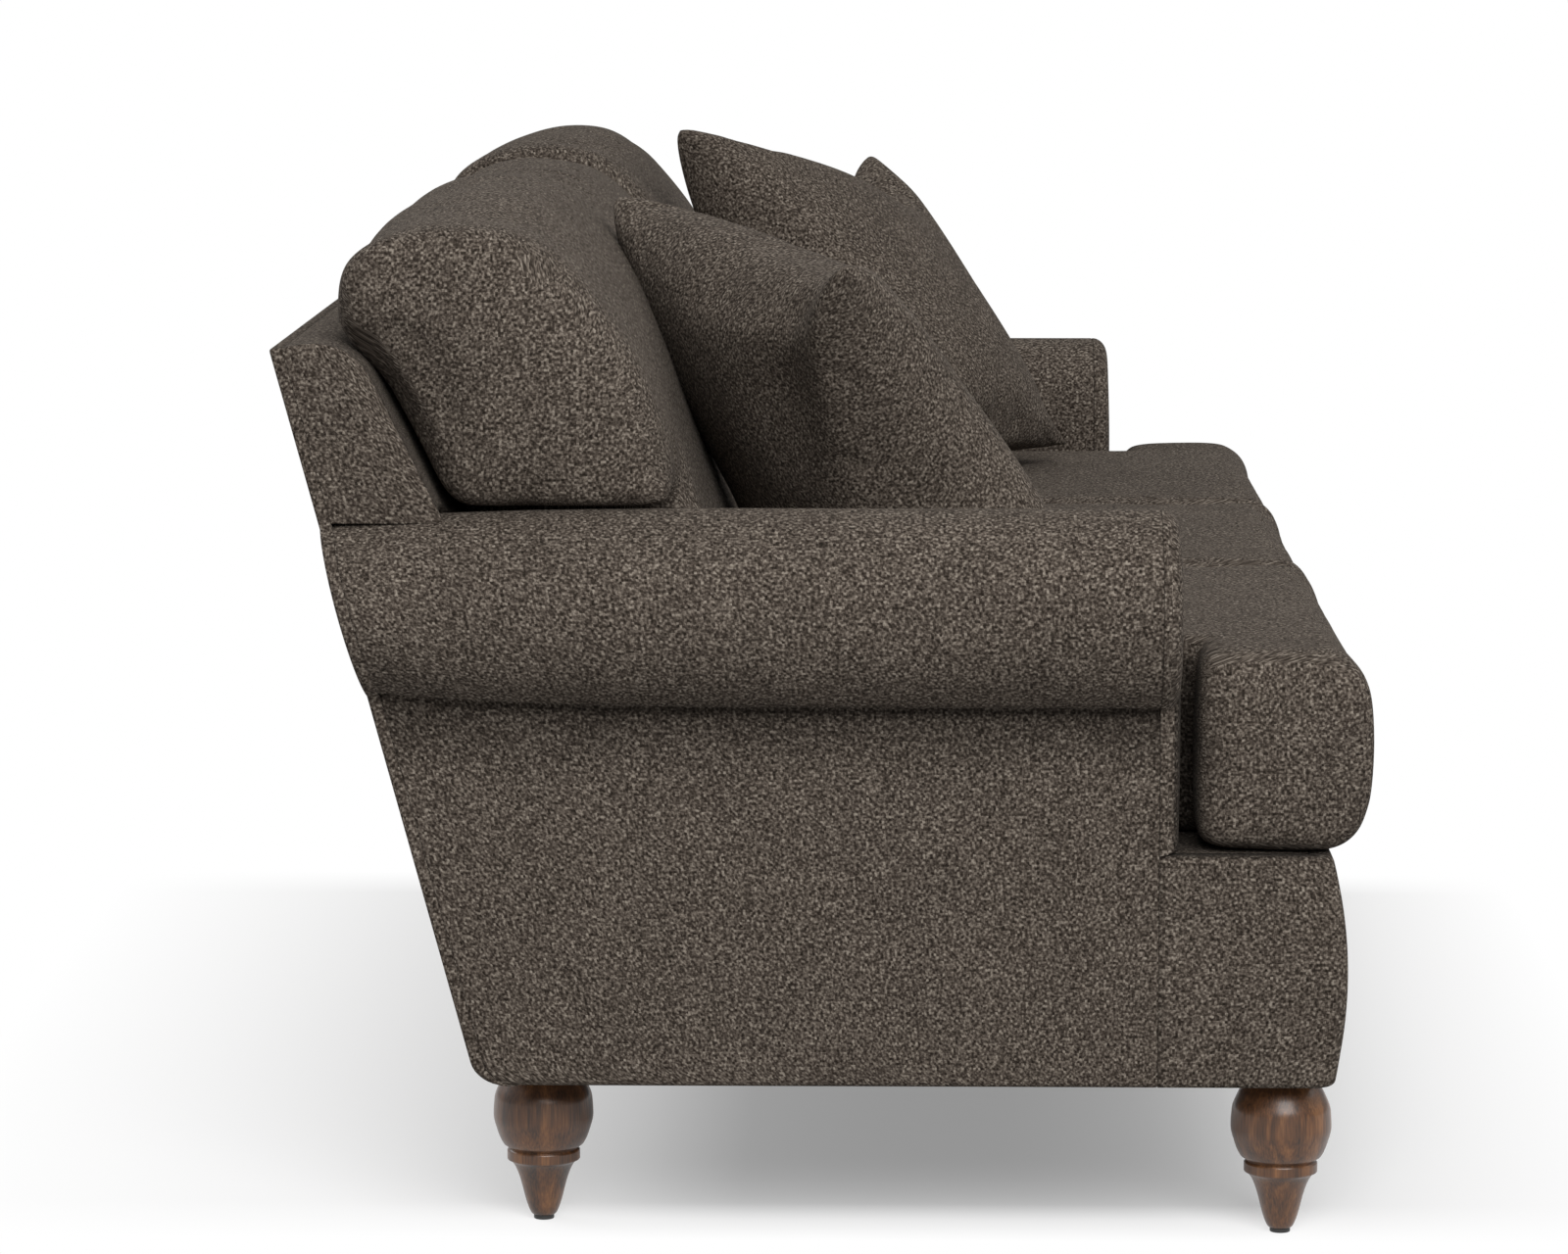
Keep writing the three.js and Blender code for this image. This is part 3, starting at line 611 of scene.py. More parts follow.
def blank(name: str) -> tuple[Material, Tree]:
    """Makes a material with an empty node tree.

    Args:
        name: its name.

    Returns:
        The material and its tree.
    """
    material = bpy.data.materials.new(name)
    material.use_nodes = True
    material.node_tree.nodes.clear()
    return material, material.node_tree


def closed(material: Material, links: dict, values: dict) -> Material:
    """Ends the tree of a material with a Principled shader and the output.

    Args:
        material: the material.
        links: sockets that feed the shader.
        values: its fixed values.

    Returns:
        The material.
    """
    shader = add(material.node_tree, "BsdfPrincipled", links, values)
    add(material.node_tree, "OutputMaterial", {"Surface": shader.outputs["BSDF"]})
    return material


@dataclass(frozen=True)
class HeatherTweed:
    """Heather wool tweed, plain woven from yarns of mixed dark and light fibre.

    To the eye it is matt and dark, with light flecks where a pale fibre comes up, and it turns greyer where
    it is seen at a flat angle, because of its fuzz.
    """

    name: str = "heather_wool_tweed"
    hollow: str = "#241f1a"
    ground: str = "#3b342e"
    body: str = "#4f4740"
    fleck: str = "#6b6259"
    pale: str = "#8f867b"
    yarn: float = 0.0024  # the cloth has about 1.2 mm, drawn twice as coarse so that it shows
    slub: float = 0.006
    mottle: float = 0.06
    fuzz: str = "#c9c3bb"
    shade_spread: float = 7.31
    bump: float = 0.0011

    def material(self) -> Material:
        """Builds the cloth.

        Each square of the weave shows its warp or its weft in turn. A yarn's shade is drawn at random from
        slub to slub, and each square adds its own share, so flecks are one or two squares in size. A yarn's
        crown is one minus the square of the way from its middle.

        Returns:
            The material.
        """
        material, tree = blank(self.name)
        lie = add(tree, "Attribute", attribute_name=WEAVE, attribute_type="GEOMETRY").outputs["Vector"]
        yarns = add(tree, "VectorMath", {0: lie}, {3: 1 / self.yarn}, operation="SCALE").outputs[0]
        square = add(tree, "VectorMath", {0: yarns}, operation="FLOOR").outputs[0]
        within = add(tree, "VectorMath", {0: yarns}, operation="FRACTION").outputs[0]
        at, place = (add(tree, "SeparateXYZ", {0: source}).outputs for source in (square, within))
        total = add(tree, "Math", {0: at[0], 1: at[1]}, operation="ADD").outputs[0]
        turn = add(tree, "Math", {0: total}, {1: 2.0}, operation="FLOORED_MODULO").outputs[0]
        grain = {"Scale": 0.85, "Detail": 1.0}
        own = add(tree, "TexNoise", {"Vector": yarns}, grain, noise_dimensions="2D").outputs[0]
        ratio = self.yarn / self.slub
        shades, crowns = [], []
        for k, along in enumerate(((self.shade_spread, ratio, 1.0), (ratio, self.shade_spread, 1.0))):
            run = add(tree, "VectorMath", {0: square}, {1: along}, operation="MULTIPLY").outputs[0]
            shades.append(add(tree, "TexNoise", {"Vector": run}, {"Scale": 1.0, "Detail": 0.0}).outputs[0])
            off = add(tree, "Math", {0: place[k]}, {1: 0.5}, operation="SUBTRACT").outputs[0]
            crowns.append(add(tree, "Math", {0: off, 1: off}, operation="MULTIPLY").outputs[0])
        yarn, dip = (add(tree, "Mix", {"Factor": turn, 2: a, 3: b}).outputs[0] for a, b in (shades, crowns))
        mixed = add(tree, "Mix", {2: yarn, 3: own}, {"Factor": 0.5}).outputs[0]
        stops = (
            (0.3, self.hollow), (0.42, self.ground), (0.5, self.body), (0.59, self.fleck), (0.71, self.pale),
        )
        colour = add(tree, "ValToRGB", {"Fac": mixed}, stops=stops).outputs[0]
        where = add(tree, "TexCoord").outputs["Object"]
        cloud = add(tree, "TexNoise", {"Vector": where}, {"Scale": 1 / self.mottle, "Detail": 2.0}).outputs[0]
        # Painted shade: the colour darkens, down to 0.45 of itself, at sewn lines and where shade is marked
        # on the mesh.
        line = add(tree, "Attribute", attribute_name=SEAM_AND_SHADE, attribute_type="GEOMETRY").outputs["Fac"]
        level, sunk = (
            add(tree, "MapRange", {0: source}, dict(enumerate(limits, 1))).outputs[0]
            for source, limits in ((cloud, (0.3, 0.7, 0.92, 1.08)), (line, (0.35, 1.0, 1.0, 0.45)))
        )
        mottle_and_painted_shade = add(tree, "Math", {0: level, 1: sunk}, operation="MULTIPLY").outputs[0]
        shown = add(tree, "VectorMath", {0: colour, 3: mottle_and_painted_shade}, operation="SCALE").outputs[0]
        raised = add(tree, "Math", {0: mixed, 1: dip}, operation="SUBTRACT").outputs[0]
        bump = add(tree, "Bump", {"Height": raised}, {"Distance": self.bump, "Strength": 0.55}).outputs[0]
        values = {
            "Roughness": 0.93, "Specular IOR Level": 0.06, "Sheen Weight": 0.03, "Sheen Roughness": 0.55,
            "Sheen Tint": self.fuzz,
        }
        return closed(material, {"Base Color": shown, "Normal": bump}, values)


@dataclass(frozen=True)
class Timber:
    """Sawn or turned wood: long fibres along one axis, darker pores, and rings that drift across.

    Walnut under a satin lacquer looks deep brown with a soft highlight. Frame hardwood and plywood are bare
    and pale.
    """

    name: str
    dark: str
    mid: str
    light: str
    along: int = 2
    roughness: float = 0.6
    coat: float = 0.0
    ring: float = 0.022
    ring_stretch: float = 9
    pore: float = 0.0016
    pore_stretch: float = 26

    def material(self) -> Material:
        """Builds the wood from a stretched fibre noise over slow rings.

        Returns:
            The material.
        """
        material, tree = blank(self.name)
        where = add(tree, "TexCoord").outputs["Object"]
        noises = []
        layers = ((self.ring, self.ring_stretch, 1.4), (self.pore, self.pore_stretch, 0.0))
        for size, stretch, drift in layers:
            scale = [1 / size] * 3
            scale[self.along] /= stretch
            run = add(tree, "VectorMath", {0: where}, {1: scale}, operation="MULTIPLY").outputs[0]
            values = {"Scale": 1.0, "Detail": 3.0, "Distortion": drift}
            noises.append(add(tree, "TexNoise", {"Vector": run}, values).outputs[0])
        both = add(tree, "Mix", {2: noises[0], 3: noises[1]}, {"Factor": 0.4}).outputs[0]
        stops = ((0.34, self.dark), (0.5, self.mid), (0.66, self.light))
        colour = add(tree, "ValToRGB", {"Fac": both}, stops=stops).outputs[0]
        bump = add(tree, "Bump", {"Height": noises[1]}, {"Distance": 0.0004, "Strength": 0.25}).outputs[0]
        values = {"Roughness": self.roughness, "Coat Weight": self.coat, "Coat Roughness": 0.22}
        return closed(material, {"Base Color": colour, "Normal": bump}, values)


@dataclass(frozen=True)
class FlatCloth:
    """Plain matt cloth of the dust cover, the deck or the straps, with a visible grid of threads."""

    name: str
    dark: str
    light: str
    thread: float

    def material(self) -> Material:
        """Builds the cloth from two crossed waves on the lie of the cloth, broken up by a noise.

        Returns:
            The material.
        """
        material, tree = blank(self.name)
        lie = add(tree, "Attribute", attribute_name=WEAVE, attribute_type="GEOMETRY").outputs["Vector"]
        threads = add(tree, "VectorMath", {0: lie}, {3: math.pi / self.thread}, operation="SCALE").outputs[0]
        wave = add(tree, "VectorMath", {0: threads}, operation="SINE").outputs[0]
        part = add(tree, "SeparateXYZ", {0: wave}).outputs
        grid = add(tree, "Math", {0: part[0], 1: part[1]}, operation="MULTIPLY").outputs[0]
        where = add(tree, "TexCoord").outputs["Object"]
        wear = add(tree, "TexNoise", {"Vector": where}, {"Scale": 60.0, "Detail": 4.0}).outputs[0]
        both = add(tree, "Math", {0: grid, 2: wear}, {1: 0.25}, operation="MULTIPLY_ADD").outputs[0]
        stops = ((0.25, self.dark), (0.75, self.light))
        colour = add(tree, "ValToRGB", {"Fac": both}, stops=stops).outputs[0]
        bump = add(tree, "Bump", {"Height": both}, {"Distance": 0.0006, "Strength": 0.5}).outputs[0]
        values = {"Roughness": 0.9, "Sheen Weight": 0.1}
        return closed(material, {"Base Color": colour, "Normal": bump}, values)


@dataclass(frozen=True)
class SpringSteel:
    """Drawn spring steel: grey, bright along the wire, slightly blotched by its oil."""

    name: str = "drawn_spring_steel"
    colour: str = "#8d8f92"
    stain: str = "#6c6a68"

    def material(self) -> Material:
        """Builds the metal with a blotchy roughness.

        Returns:
            The material.
        """
        material, tree = blank(self.name)
        where = add(tree, "TexCoord").outputs["Object"]
        blot = add(tree, "TexNoise", {"Vector": where}, {"Scale": 90.0, "Detail": 4.0}).outputs[0]
        stops = ((0.35, self.stain), (0.6, self.colour))
        colour = add(tree, "ValToRGB", {"Fac": blot}, stops=stops).outputs[0]
        rough = add(tree, "MapRange", {"Value": blot}, {"To Min": 0.28, "To Max": 0.5}).outputs[0]
        return closed(material, {"Base Color": colour, "Roughness": rough}, {"Metallic": 1.0})


@dataclass(frozen=True)
class MouldedNylon:
    """Moulded nylon of the glides: near black, half gloss, with the fine grain of its mould."""

    name: str = "moulded_nylon"
    colour: str = "#262626"
    light: str = "#333231"

    def material(self) -> Material:
        """Builds the plastic.

        Returns:
            The material.
        """
        material, tree = blank(self.name)
        where = add(tree, "TexCoord").outputs["Object"]
        grain = add(tree, "TexNoise", {"Vector": where}, {"Scale": 1400.0, "Detail": 2.0}).outputs[0]
        stops = ((0.3, self.colour), (0.7, self.light))
        colour = add(tree, "ValToRGB", {"Fac": grain}, stops=stops).outputs[0]
        bump = add(tree, "Bump", {"Height": grain}, {"Distance": 0.0001, "Strength": 0.4}).outputs[0]
        return closed(material, {"Base Color": colour, "Normal": bump}, {"Roughness": 0.45})


FINISHES = {
    "tweed": HeatherTweed(),
    "walnut": Timber("satin_walnut", "#2b190b", "#5c3a20", "#835834", roughness=0.42, coat=0.35),
    "hardwood": Timber("sawn_beech", "#a87f50", "#c49a66", "#d8b483", along=0, roughness=0.72),
    "plywood": Timber("birch_plywood", "#9a744a", "#b98d5a", "#cba573", along=0, roughness=0.75, ring=0.05),
    "steel": SpringSteel(),
    "nylon": MouldedNylon(),
    "dust_cloth": FlatCloth("black_cambric", "#141312", "#262423", 0.0012),
    "felt": FlatCloth("felted_burlap_decking", "#9c8d72", "#c6b99d", 0.0022),
    "webbing": FlatCloth("elastic_webbing", "#1e2124", "#3c4045", 0.0026),
}


# Sizes


@dataclass(frozen=True)
class SofaSizes:
    """Sizes and faces of the whole sofa, as in its frame."""

    seam: float = 0.0003
    cushion_gap: float = 0.0015
    overall_depth: float = 0.996
    panel_half: float = 1.020
    foot_height: float = 0.147
    base_rise: float = 0.2145
    back_rise: float = 0.4525
    rear_rake: float = math.radians(15.2)
    inside_rake: float = math.radians(26.4)
    back_top_depth: float = 0.084
    shoulder_drop: float = 0.015
    back_top_crown: float = 0.016
    hem_rise: float = 0.021
    hem_run: float = 0.025
    board_thick: float = 0.012
    pad_thick: float = 0.020
    roll_radius: float = 0.093
    roll_inset: float = 0.031
    roll_taper: float = 0.011
    arm_rise: float = 0.3135
    facing_depth: float = 0.018
    arm_setback: float = 0.193
    seat_thick: float = 0.184
    post_width: float = 0.056

    @property
    def seat_front(self) -> float:
        """Y of the front of the seat cushions."""
        return -self.overall_depth / 2

    @property
    def back_top_y(self) -> float:
        """Y of the rear top edge of the back."""
        return self.overall_depth / 2

    @property
    def deck_top(self) -> float:
        """Z of the seat deck."""
        return self.foot_height + self.base_rise

    @property
    def back_top(self) -> float:
        """Z of the rear top edge of the back."""
        return self.deck_top + self.back_rise

    @property
    def shoulder(self) -> float:
        """Z of the front shoulder of the back."""
        return self.back_top - self.shoulder_drop

    @property
    def crest(self) -> float:
        """Z of the top of the arms."""
        return self.deck_top + self.arm_rise

    @property
    def roll_x(self) -> float:
        """X of the middle of the arm roll."""
        return self.panel_half - self.roll_inset

    @property
    def roll_z(self) -> float:
        """Z of the middle of the arm roll."""
        return self.crest - self.roll_radius

    @property
    def arm_inner(self) -> float:
        """X of the inner face of the arms."""
        return self.roll_x - self.roll_radius

    @property
    def arm_seam(self) -> float:
        """Y of the seam between the arm and its facing."""
        return self.seat_front + self.arm_setback

    @property
    def seat_top(self) -> float:
        """Z of the top of the seat cushions."""
        return self.deck_top + self.seam + self.seat_thick

    @property
    def post_outer(self) -> float:
        """X of the outer face of the back posts."""
        return self.arm_inner + self.pad_thick + self.seam + self.post_width

    def rear(self, z: Array | float) -> Array:
        """Y of the outside back: a raked plane whose foot turns forward in a round hem.

        Args:
            z: heights.

        Returns:
            One Y for each height.
        """
        raked = self.back_top_y - (self.back_top - z) * math.tan(self.rear_rake)
        hem = unit((self.foot_height + self.hem_rise - z) / self.hem_rise)
        return raked - self.hem_run * (1 - np.sqrt(1 - hem * hem))

    def frame_rear(self, z: Array | float) -> Array:
        """Y of the rear of everything in front of the outside back."""
        return self.rear(z) - self.board_thick - self.seam

    def inside(self, z: Array | float) -> Array:
        """Y of the inside back that the cushions lean on."""
        lean = (self.shoulder - z) * math.tan(self.inside_rake)
        return self.rear(self.shoulder) - self.back_top_depth - lean

    def roll_at(self, y: Array | float) -> Array:
        """Radius of the arm roll, which gets smaller with the cube of the way to the back."""
        share = unit(y / self.frame_rear(self.roll_z))
        return self.roll_radius - self.roll_taper * share**3


@dataclass
class Group:
    """Pieces that are built together, from the sizes and the materials by their slot."""

    sizes: SofaSizes
    finishes: dict[str, Material]

    def dress(
        self, piece: Object, slot: str, node: str, fill: float | None = None, body: str = "frame"
    ) -> None:
        """Gives a finished piece its material and ties it to the frame.

        Args:
            piece: the piece.
            slot: the record's slot of its finish.
            node: the node that it stands for.
            fill: how full its stuffing is, for a padded piece; not used.
            body: the body that it rides on.
        """
        piece.data.materials.clear()
        piece.data.materials.append(self.finishes[slot])
        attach(piece, body)
        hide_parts(node)
        log.info("%s: %d faces on %s", piece.name, len(piece.data.polygons), body)


# Upholstery that is fixed to the frame


@dataclass
class RolledArm(Group):
    """One arm: its cover, from the foot outside over the roll to the deck inside, and its padded facing."""

    side: Side
    hem: float = 0.006
    crease_depth: float = 0.006
    crease_width: float = 0.006
    slack: float = 0.0009
    widest: float = 1.084
    seam_draw: float = 0.0006
    seam_reach: float = 0.003
    facing_edge: float = 0.026
    facing_rings: int = 12
    facing_round: float = 2.4
    facing_dome: float = 0.0025
    facing_middle: tuple = (0.029, 0.535)
    shade: float = 0.9
    stations: int = 74
    crowding: float = 0.75
    hem_points: int = 6
    panel_points: int = 57
    panel_crowding: float = 1.6
    roll_points: int = 60
    roll_crowding: float = 1.3
    inner_points: int = 22
    down_points: int = 16
    crease_shade: float = 0.85
    shade_above: float = 0.010
    shade_below: float = 0.066

    def outline(self, radius: Array, inset: float, foot_in: float, foot_out: float | None = None) -> Array:
        """Outline of the arm in X and Z for each radius of the roll.

        It goes up the outside panel, round the roll from the crease to its crest and on to the inner face,
        and down to the deck. The roll is a circle outside, and inside an ellipse as wide as the roll is in
        front.

        Args:
            radius: (stations,) radius of the roll.
            inset: distance inside the cover.
            foot_in: Z of the foot inside.
            foot_out: Z of the foot outside, with a round hem where it is None.

        Returns:
            (stations, points, 2) X and Z.
        """
        s = self.sizes
        radius = np.atleast_1d(np.asarray(radius, float))[:, None]
        circle = radius - inset
        panel = s.panel_half - inset
        crease = -np.arccos(np.clip((s.roll_inset - inset) / circle, -1, 1))
        corner = np.linspace(0, np.pi / 2, self.hem_points)[None, :]
        if foot_out is None:
            hem = panel - self.hem * (1 - np.sin(corner)), s.foot_height + self.hem * (1 - np.cos(corner))
        else:
            hem = panel + 0 * corner, foot_out + 0.001 * corner
        up = 1 - (1 - np.linspace(0, 1, self.panel_points + 1)[None, 1:]) ** self.panel_crowding
        panel_z = mix(hem[1][0, -1], s.roll_z + circle * np.sin(crease), up)
        over = np.linspace(0, 1, self.roll_points)[None, 1:] ** self.roll_crowding
        angle = crease + (np.pi / 2 - crease) * over
        turn = np.pi / 2 * (1 + np.linspace(0, 1, self.inner_points)[None, 1:])
        down_z = mix(s.roll_z, foot_in, np.linspace(0, 1, self.down_points)[None, 1:])
        parts = (
            hem,
            (panel + 0 * panel_z, panel_z),
            (s.roll_x + circle * np.cos(angle), s.roll_z + circle * np.sin(angle)),
            (s.roll_x + (s.roll_radius - inset) * np.cos(turn), s.roll_z + circle * np.sin(turn)),
            (s.arm_inner + inset + 0 * down_z, down_z),
        )
        return np.stack([abreast(len(radius), *axis) for axis in zip(*parts)], axis=2)

    def tucked(self, outline: Array) -> Array:
        """Pulls the cover into the crease under the roll.

        A point moves inwards, square to the outline, by the depth of the crease times a bell curve of its
        distance from the crease.

        Args:
            outline: (stations, points, 2) X and Z.

        Returns:
            The moved outline.
        """
        crease = self.hem_points + self.panel_points - 1
        ahead = np.gradient(outline, axis=1)
        ahead /= np.linalg.norm(ahead, axis=2, keepdims=True) + 1e-12
        inward = np.stack([-ahead[..., 1], ahead[..., 0]], axis=2)
        run = np.cumsum(np.linalg.norm(np.diff(outline, axis=1, prepend=outline[:, :1]), axis=2), axis=1)
        tuck = self.crease_depth * bell(run - run[:, crease : crease + 1], self.crease_width)
        return outline + inward * tuck[..., None]

    def stationed(self, inset: float) -> Array:
        """Grid of points of the cover or of its lining.

        A station is a share of the way from the front seam to the raked rear end, so the rows lean with the
        back. The front edge of the cover rolls in towards the seam with the facing.

        Args:
            inset: distance inside the cover.

        Returns:
            (stations, points, 3) places.
        """
        s = self.sizes
        share = crowded(self.stations, self.crowding)
        radius = s.roll_at(mix(s.arm_seam, s.frame_rear(s.roll_z), share))
        outline = self.outline(radius, inset, s.deck_top + s.seam)
        if inset == 0:
            outline = self.tucked(outline)
        x, z = outline[..., 0], outline[..., 1]
        y = mix(s.arm_seam, s.frame_rear(z), share[:, None])
        if inset == 0:
            drawn = self.seam_draw * rounding(unit((y - s.arm_seam) / self.seam_reach))
            centre_x, centre_z = s.roll_x - 0.02, np.clip(z, s.deck_top, s.roll_z)
            away = np.hypot(x - centre_x, z - centre_z)
            x = x - drawn * (x - centre_x) / away
            z = z - drawn * (z - centre_z) / away
        return np.stack([self.side.value * x, y, z], axis=2)

    def cover(self) -> None:
        """Builds the cover, with a notch round the post of the back."""
        s, sign = self.sizes, self.side.value
        outer = self.stationed(0)
        wave = self.slack * ripple(outer, 0.34, 11 + sign) * sign
        outer[..., 0] += np.where(outer[..., 2] < s.roll_z - 0.02, wave, 0)
        outer[..., 0] = np.clip(outer[..., 0], -self.widest, self.widest)
        piece = shell(outer, self.stationed(s.pad_thick)).mesh(f"arm_cover_soft_{self.side.word}")
        low, high, rear = s.foot_height - 0.01, s.shoulder, s.back_top_y + 0.04
        front = [float(s.inside(z)) + s.pad_thick - s.seam for z in (low, high)]
        notch = ((front[0], low), (rear, low), (rear, high), (front[1], high))
        ends = np.sort(sign * np.array([s.arm_inner - 0.04, s.post_outer + s.seam]))
        rings = np.array([[(x, y, z) for y, z in notch] for x in ends])
        cut(piece, tube(rings, *rings.mean(axis=1)))
        # Painted shade under the roll: the colour darkens along the tucked crease, falling off slowly below
        # it and fast above.
        away = places(piece)[:, 2] - (s.roll_z - math.sqrt(s.roll_radius**2 - s.roll_inset**2))
        fall = np.where(away > 0, self.shade_above, self.shade_below)
        mark_seams(piece.data, self.crease_shade * bell(away, fall))
        self.dress(piece, "tweed", f"arm_cover_{self.side.word}", 0.8)

    def facing(self) -> None:
        """Builds the padded facing.

        Rings of the arm's outline, each further inside it, stand forward as a quarter round of the way in.
        The last ones shrink to the middle on a shallow dome.
        """
        s, sign = self.sizes, self.side.value
        back = s.arm_seam - s.seam
        x, z = s.roll_x - self.facing_middle[0], self.facing_middle[1]
        rings = []
        for share in np.concatenate([[0.0], 1 - np.cos(np.linspace(0.12, np.pi / 2, self.facing_rings))]):
            inset = self.facing_edge * share
            foot = s.deck_top + s.seam + inset / 2
            flat = self.outline(np.array([s.roll_radius]), inset, foot, foot)[0]
            reach = s.facing_depth * math.sqrt(max(0.0, 1 - (1 - share) ** self.facing_round))
            rings.append(np.stack([flat[:, 0], np.full(len(flat), back - reach), flat[:, 1]], axis=1))
        edge = rings[-1]
        for share in np.linspace(0, 1, self.facing_rings)[1:-1]:
            ring = mix(edge, np.array([x, 0, z]), share)
            ring[:, 1] = edge[:, 1] - self.facing_dome * (1 - (1 - share) ** 2)
            rings.append(ring)
        front = np.array([sign * x, back - s.facing_depth - self.facing_dome, z])
        surface = tube(np.array(rings) * (sign, 1, 1), np.array([sign * x, back, z]), front)
        surface.weave = surface.points[:, [0, 2]]
        piece = surface.mesh(f"arm_facing_soft_{self.side.word}")
        # Painted shade: the lower part of the facing, which the ear of the seat cushion keeps from the light,
        # is darkened.
        at = places(piece)
        behind_ear = unit((s.seat_top - 0.015 - at[:, 2]) / 0.03) * (at[:, 1] < back - 0.012)
        mark_seams(piece.data, self.shade * behind_ear)
        self.dress(piece, "tweed", f"arm_facing_{self.side.word}", 0.85)


@dataclass
class FixedBack(Group):
    """The back: its inside cover with the top and the two side panels, and the outside back with its hem."""

    columns: int = 121
    front_rows: int = 30
    top_points: int = 26
    rear_steps: tuple = (0.006, 0.012, 0.02)
    crowding: float = 0.8
    edge: float = 0.003
    slack: float = 0.001
    side_panel: float = 0.010
    side_edge: float = 0.002
    end_draw: float = 0.005
    end_reach: float = 0.009
    sag: float = 0.0012

    def top_curve(self, inset: float) -> Array:
        """Curve over the top of the back, a cubic Bezier from the front shoulder to the rear edge.

        Args:
            inset: distance inside the cover.

        Returns:
            (points, 2) Y and Z.
        """
        s = self.sizes
        rear = float(s.frame_rear(s.back_top + s.back_top_crown / 2)) - inset
        front = float(s.inside(s.shoulder)) + inset
        crown = s.back_top_crown - inset
        ends = (
            (front, s.shoulder - inset / 2),
            (mix(rear, front, 3 / 4), s.back_top + crown),
            (mix(rear, front, 1 / 3), s.back_top + crown),
            (rear, s.back_top + crown / 2),
        )
        t = np.linspace(0, 1, self.top_points)[:, None]
        weights = ((1 - t) ** 3, 3 * (1 - t) ** 2 * t, 3 * (1 - t) * t**2, t**3)
        return sum(weight * np.array(end) for weight, end in zip(weights, ends))

    def wrap(self, inset: float, x: Array) -> Array:
        """Grid of the inside cover: up the inside back, over the top and a little down behind.

        Above an arm the cover starts on the roll. Its foot there is the roll's own height, the square root of
        the radius squared less the distance from the roll's middle squared.

        Args:
            inset: distance inside the cover.
            x: (columns,) places along the sofa.

        Returns:
            (columns, rows, 3) places.
        """
        s = self.sizes
        roll = s.roll_radius + 2 * s.seam
        reach = np.clip((np.abs(x) - s.roll_x) / roll, -1, 1)
        on_roll = s.roll_z + roll * np.sqrt(1 - reach**2)
        foot = np.where(np.abs(x) < s.arm_inner - s.seam, s.deck_top + s.seam, on_roll)
        top = self.top_curve(inset)
        z_front = mix(foot[:, None], top[0, 1], np.linspace(0, 1, self.front_rows)[None, :-1])
        z_rear = top[-1:, 1] - np.array([self.rear_steps])
        y_front = s.inside(z_front + inset / 2) + inset
        y = abreast(len(x), y_front, top[None, :, 0], s.frame_rear(z_rear) - inset)
        z = abreast(len(x), z_front, top[None, :, 1], z_rear)
        return np.stack([np.broadcast_to(x[:, None], y.shape), y, z], axis=2)

    def side(self, sign: int) -> Surface:
        """Side panel of the back above the arm, slightly domed, with soft edges.

        Lines run straight from the roll up to the top curve.

        Args:
            sign: the end of the sofa.

        Returns:
            The closed panel.
        """
        s = self.sizes
        share = crowded(self.top_points, self.crowding)
        top = spaced(self.top_curve(0), share)
        reach = s.roll_at(s.inside(s.roll_z) + 0.05)
        foot_z = s.roll_z + math.sqrt(float(reach) ** 2 - s.roll_inset**2) + 0.001
        foot_y = mix(s.inside(foot_z), s.frame_rear(foot_z), share)
        foot = np.stack([foot_y, np.full_like(share, foot_z)], axis=1)
        up = crowded(self.front_rows, self.crowding)[None, :, None]
        flat = mix(foot[:, None, :], top[:, None, :], up)
        across = np.minimum(share, 1.05 - share)[:, None] * 0.1
        near = np.minimum(across, (1 - up[..., 0]) * 0.16)
        x = s.panel_half - self.side_edge * rounding(unit(near / 0.006))
        outer = np.stack([sign * x, flat[..., 0], flat[..., 1]], axis=2)
        inner = outer.copy()
        inner[..., 0] = sign * (s.panel_half - self.side_panel)
        return shell(outer, inner)

    def inside_cover(self) -> None:
        """Builds the inside cover, the top and both side panels as one sewn piece, whose ends roll in."""
        s = self.sizes
        half = s.panel_half - 0.0005
        flank = np.concatenate([
            (s.arm_inner - 0.002, s.arm_inner + 0.0005),
            mix(s.arm_inner + 0.004, half - 0.012, np.linspace(0, 1, 14)),
            half - self.end_reach * (1 - np.sin(np.linspace(0.2, np.pi / 2, 7))),
        ])
        middle = np.linspace(-s.arm_inner + 0.02, s.arm_inner - 0.02, self.columns - 44)
        x = np.concatenate([-flank[::-1], middle, flank])
        outer, inner = self.wrap(0, x), self.wrap(s.pad_thick - 0.001, x)
        drawn = self.end_draw * rounding(unit((half - np.abs(x)) / self.end_reach))[:, None]
        outer[..., 1] += drawn * 0.7
        outer[..., 2] -= drawn * unit((outer[..., 2] - s.shoulder + 0.02) / 0.02)
        outer[..., 1] += np.abs(self.sag * ripple(outer, 0.4, 5))
        inner[..., 0] = np.clip(inner[..., 0], -half + 0.011, half - 0.011)
        surface = shell(outer, inner)
        for side in ENDS:
            surface = surface.joined(self.side(side.value))
        self.dress(surface.mesh("inside_back_soft"), "tweed", "inside_back_cover", 0.7)

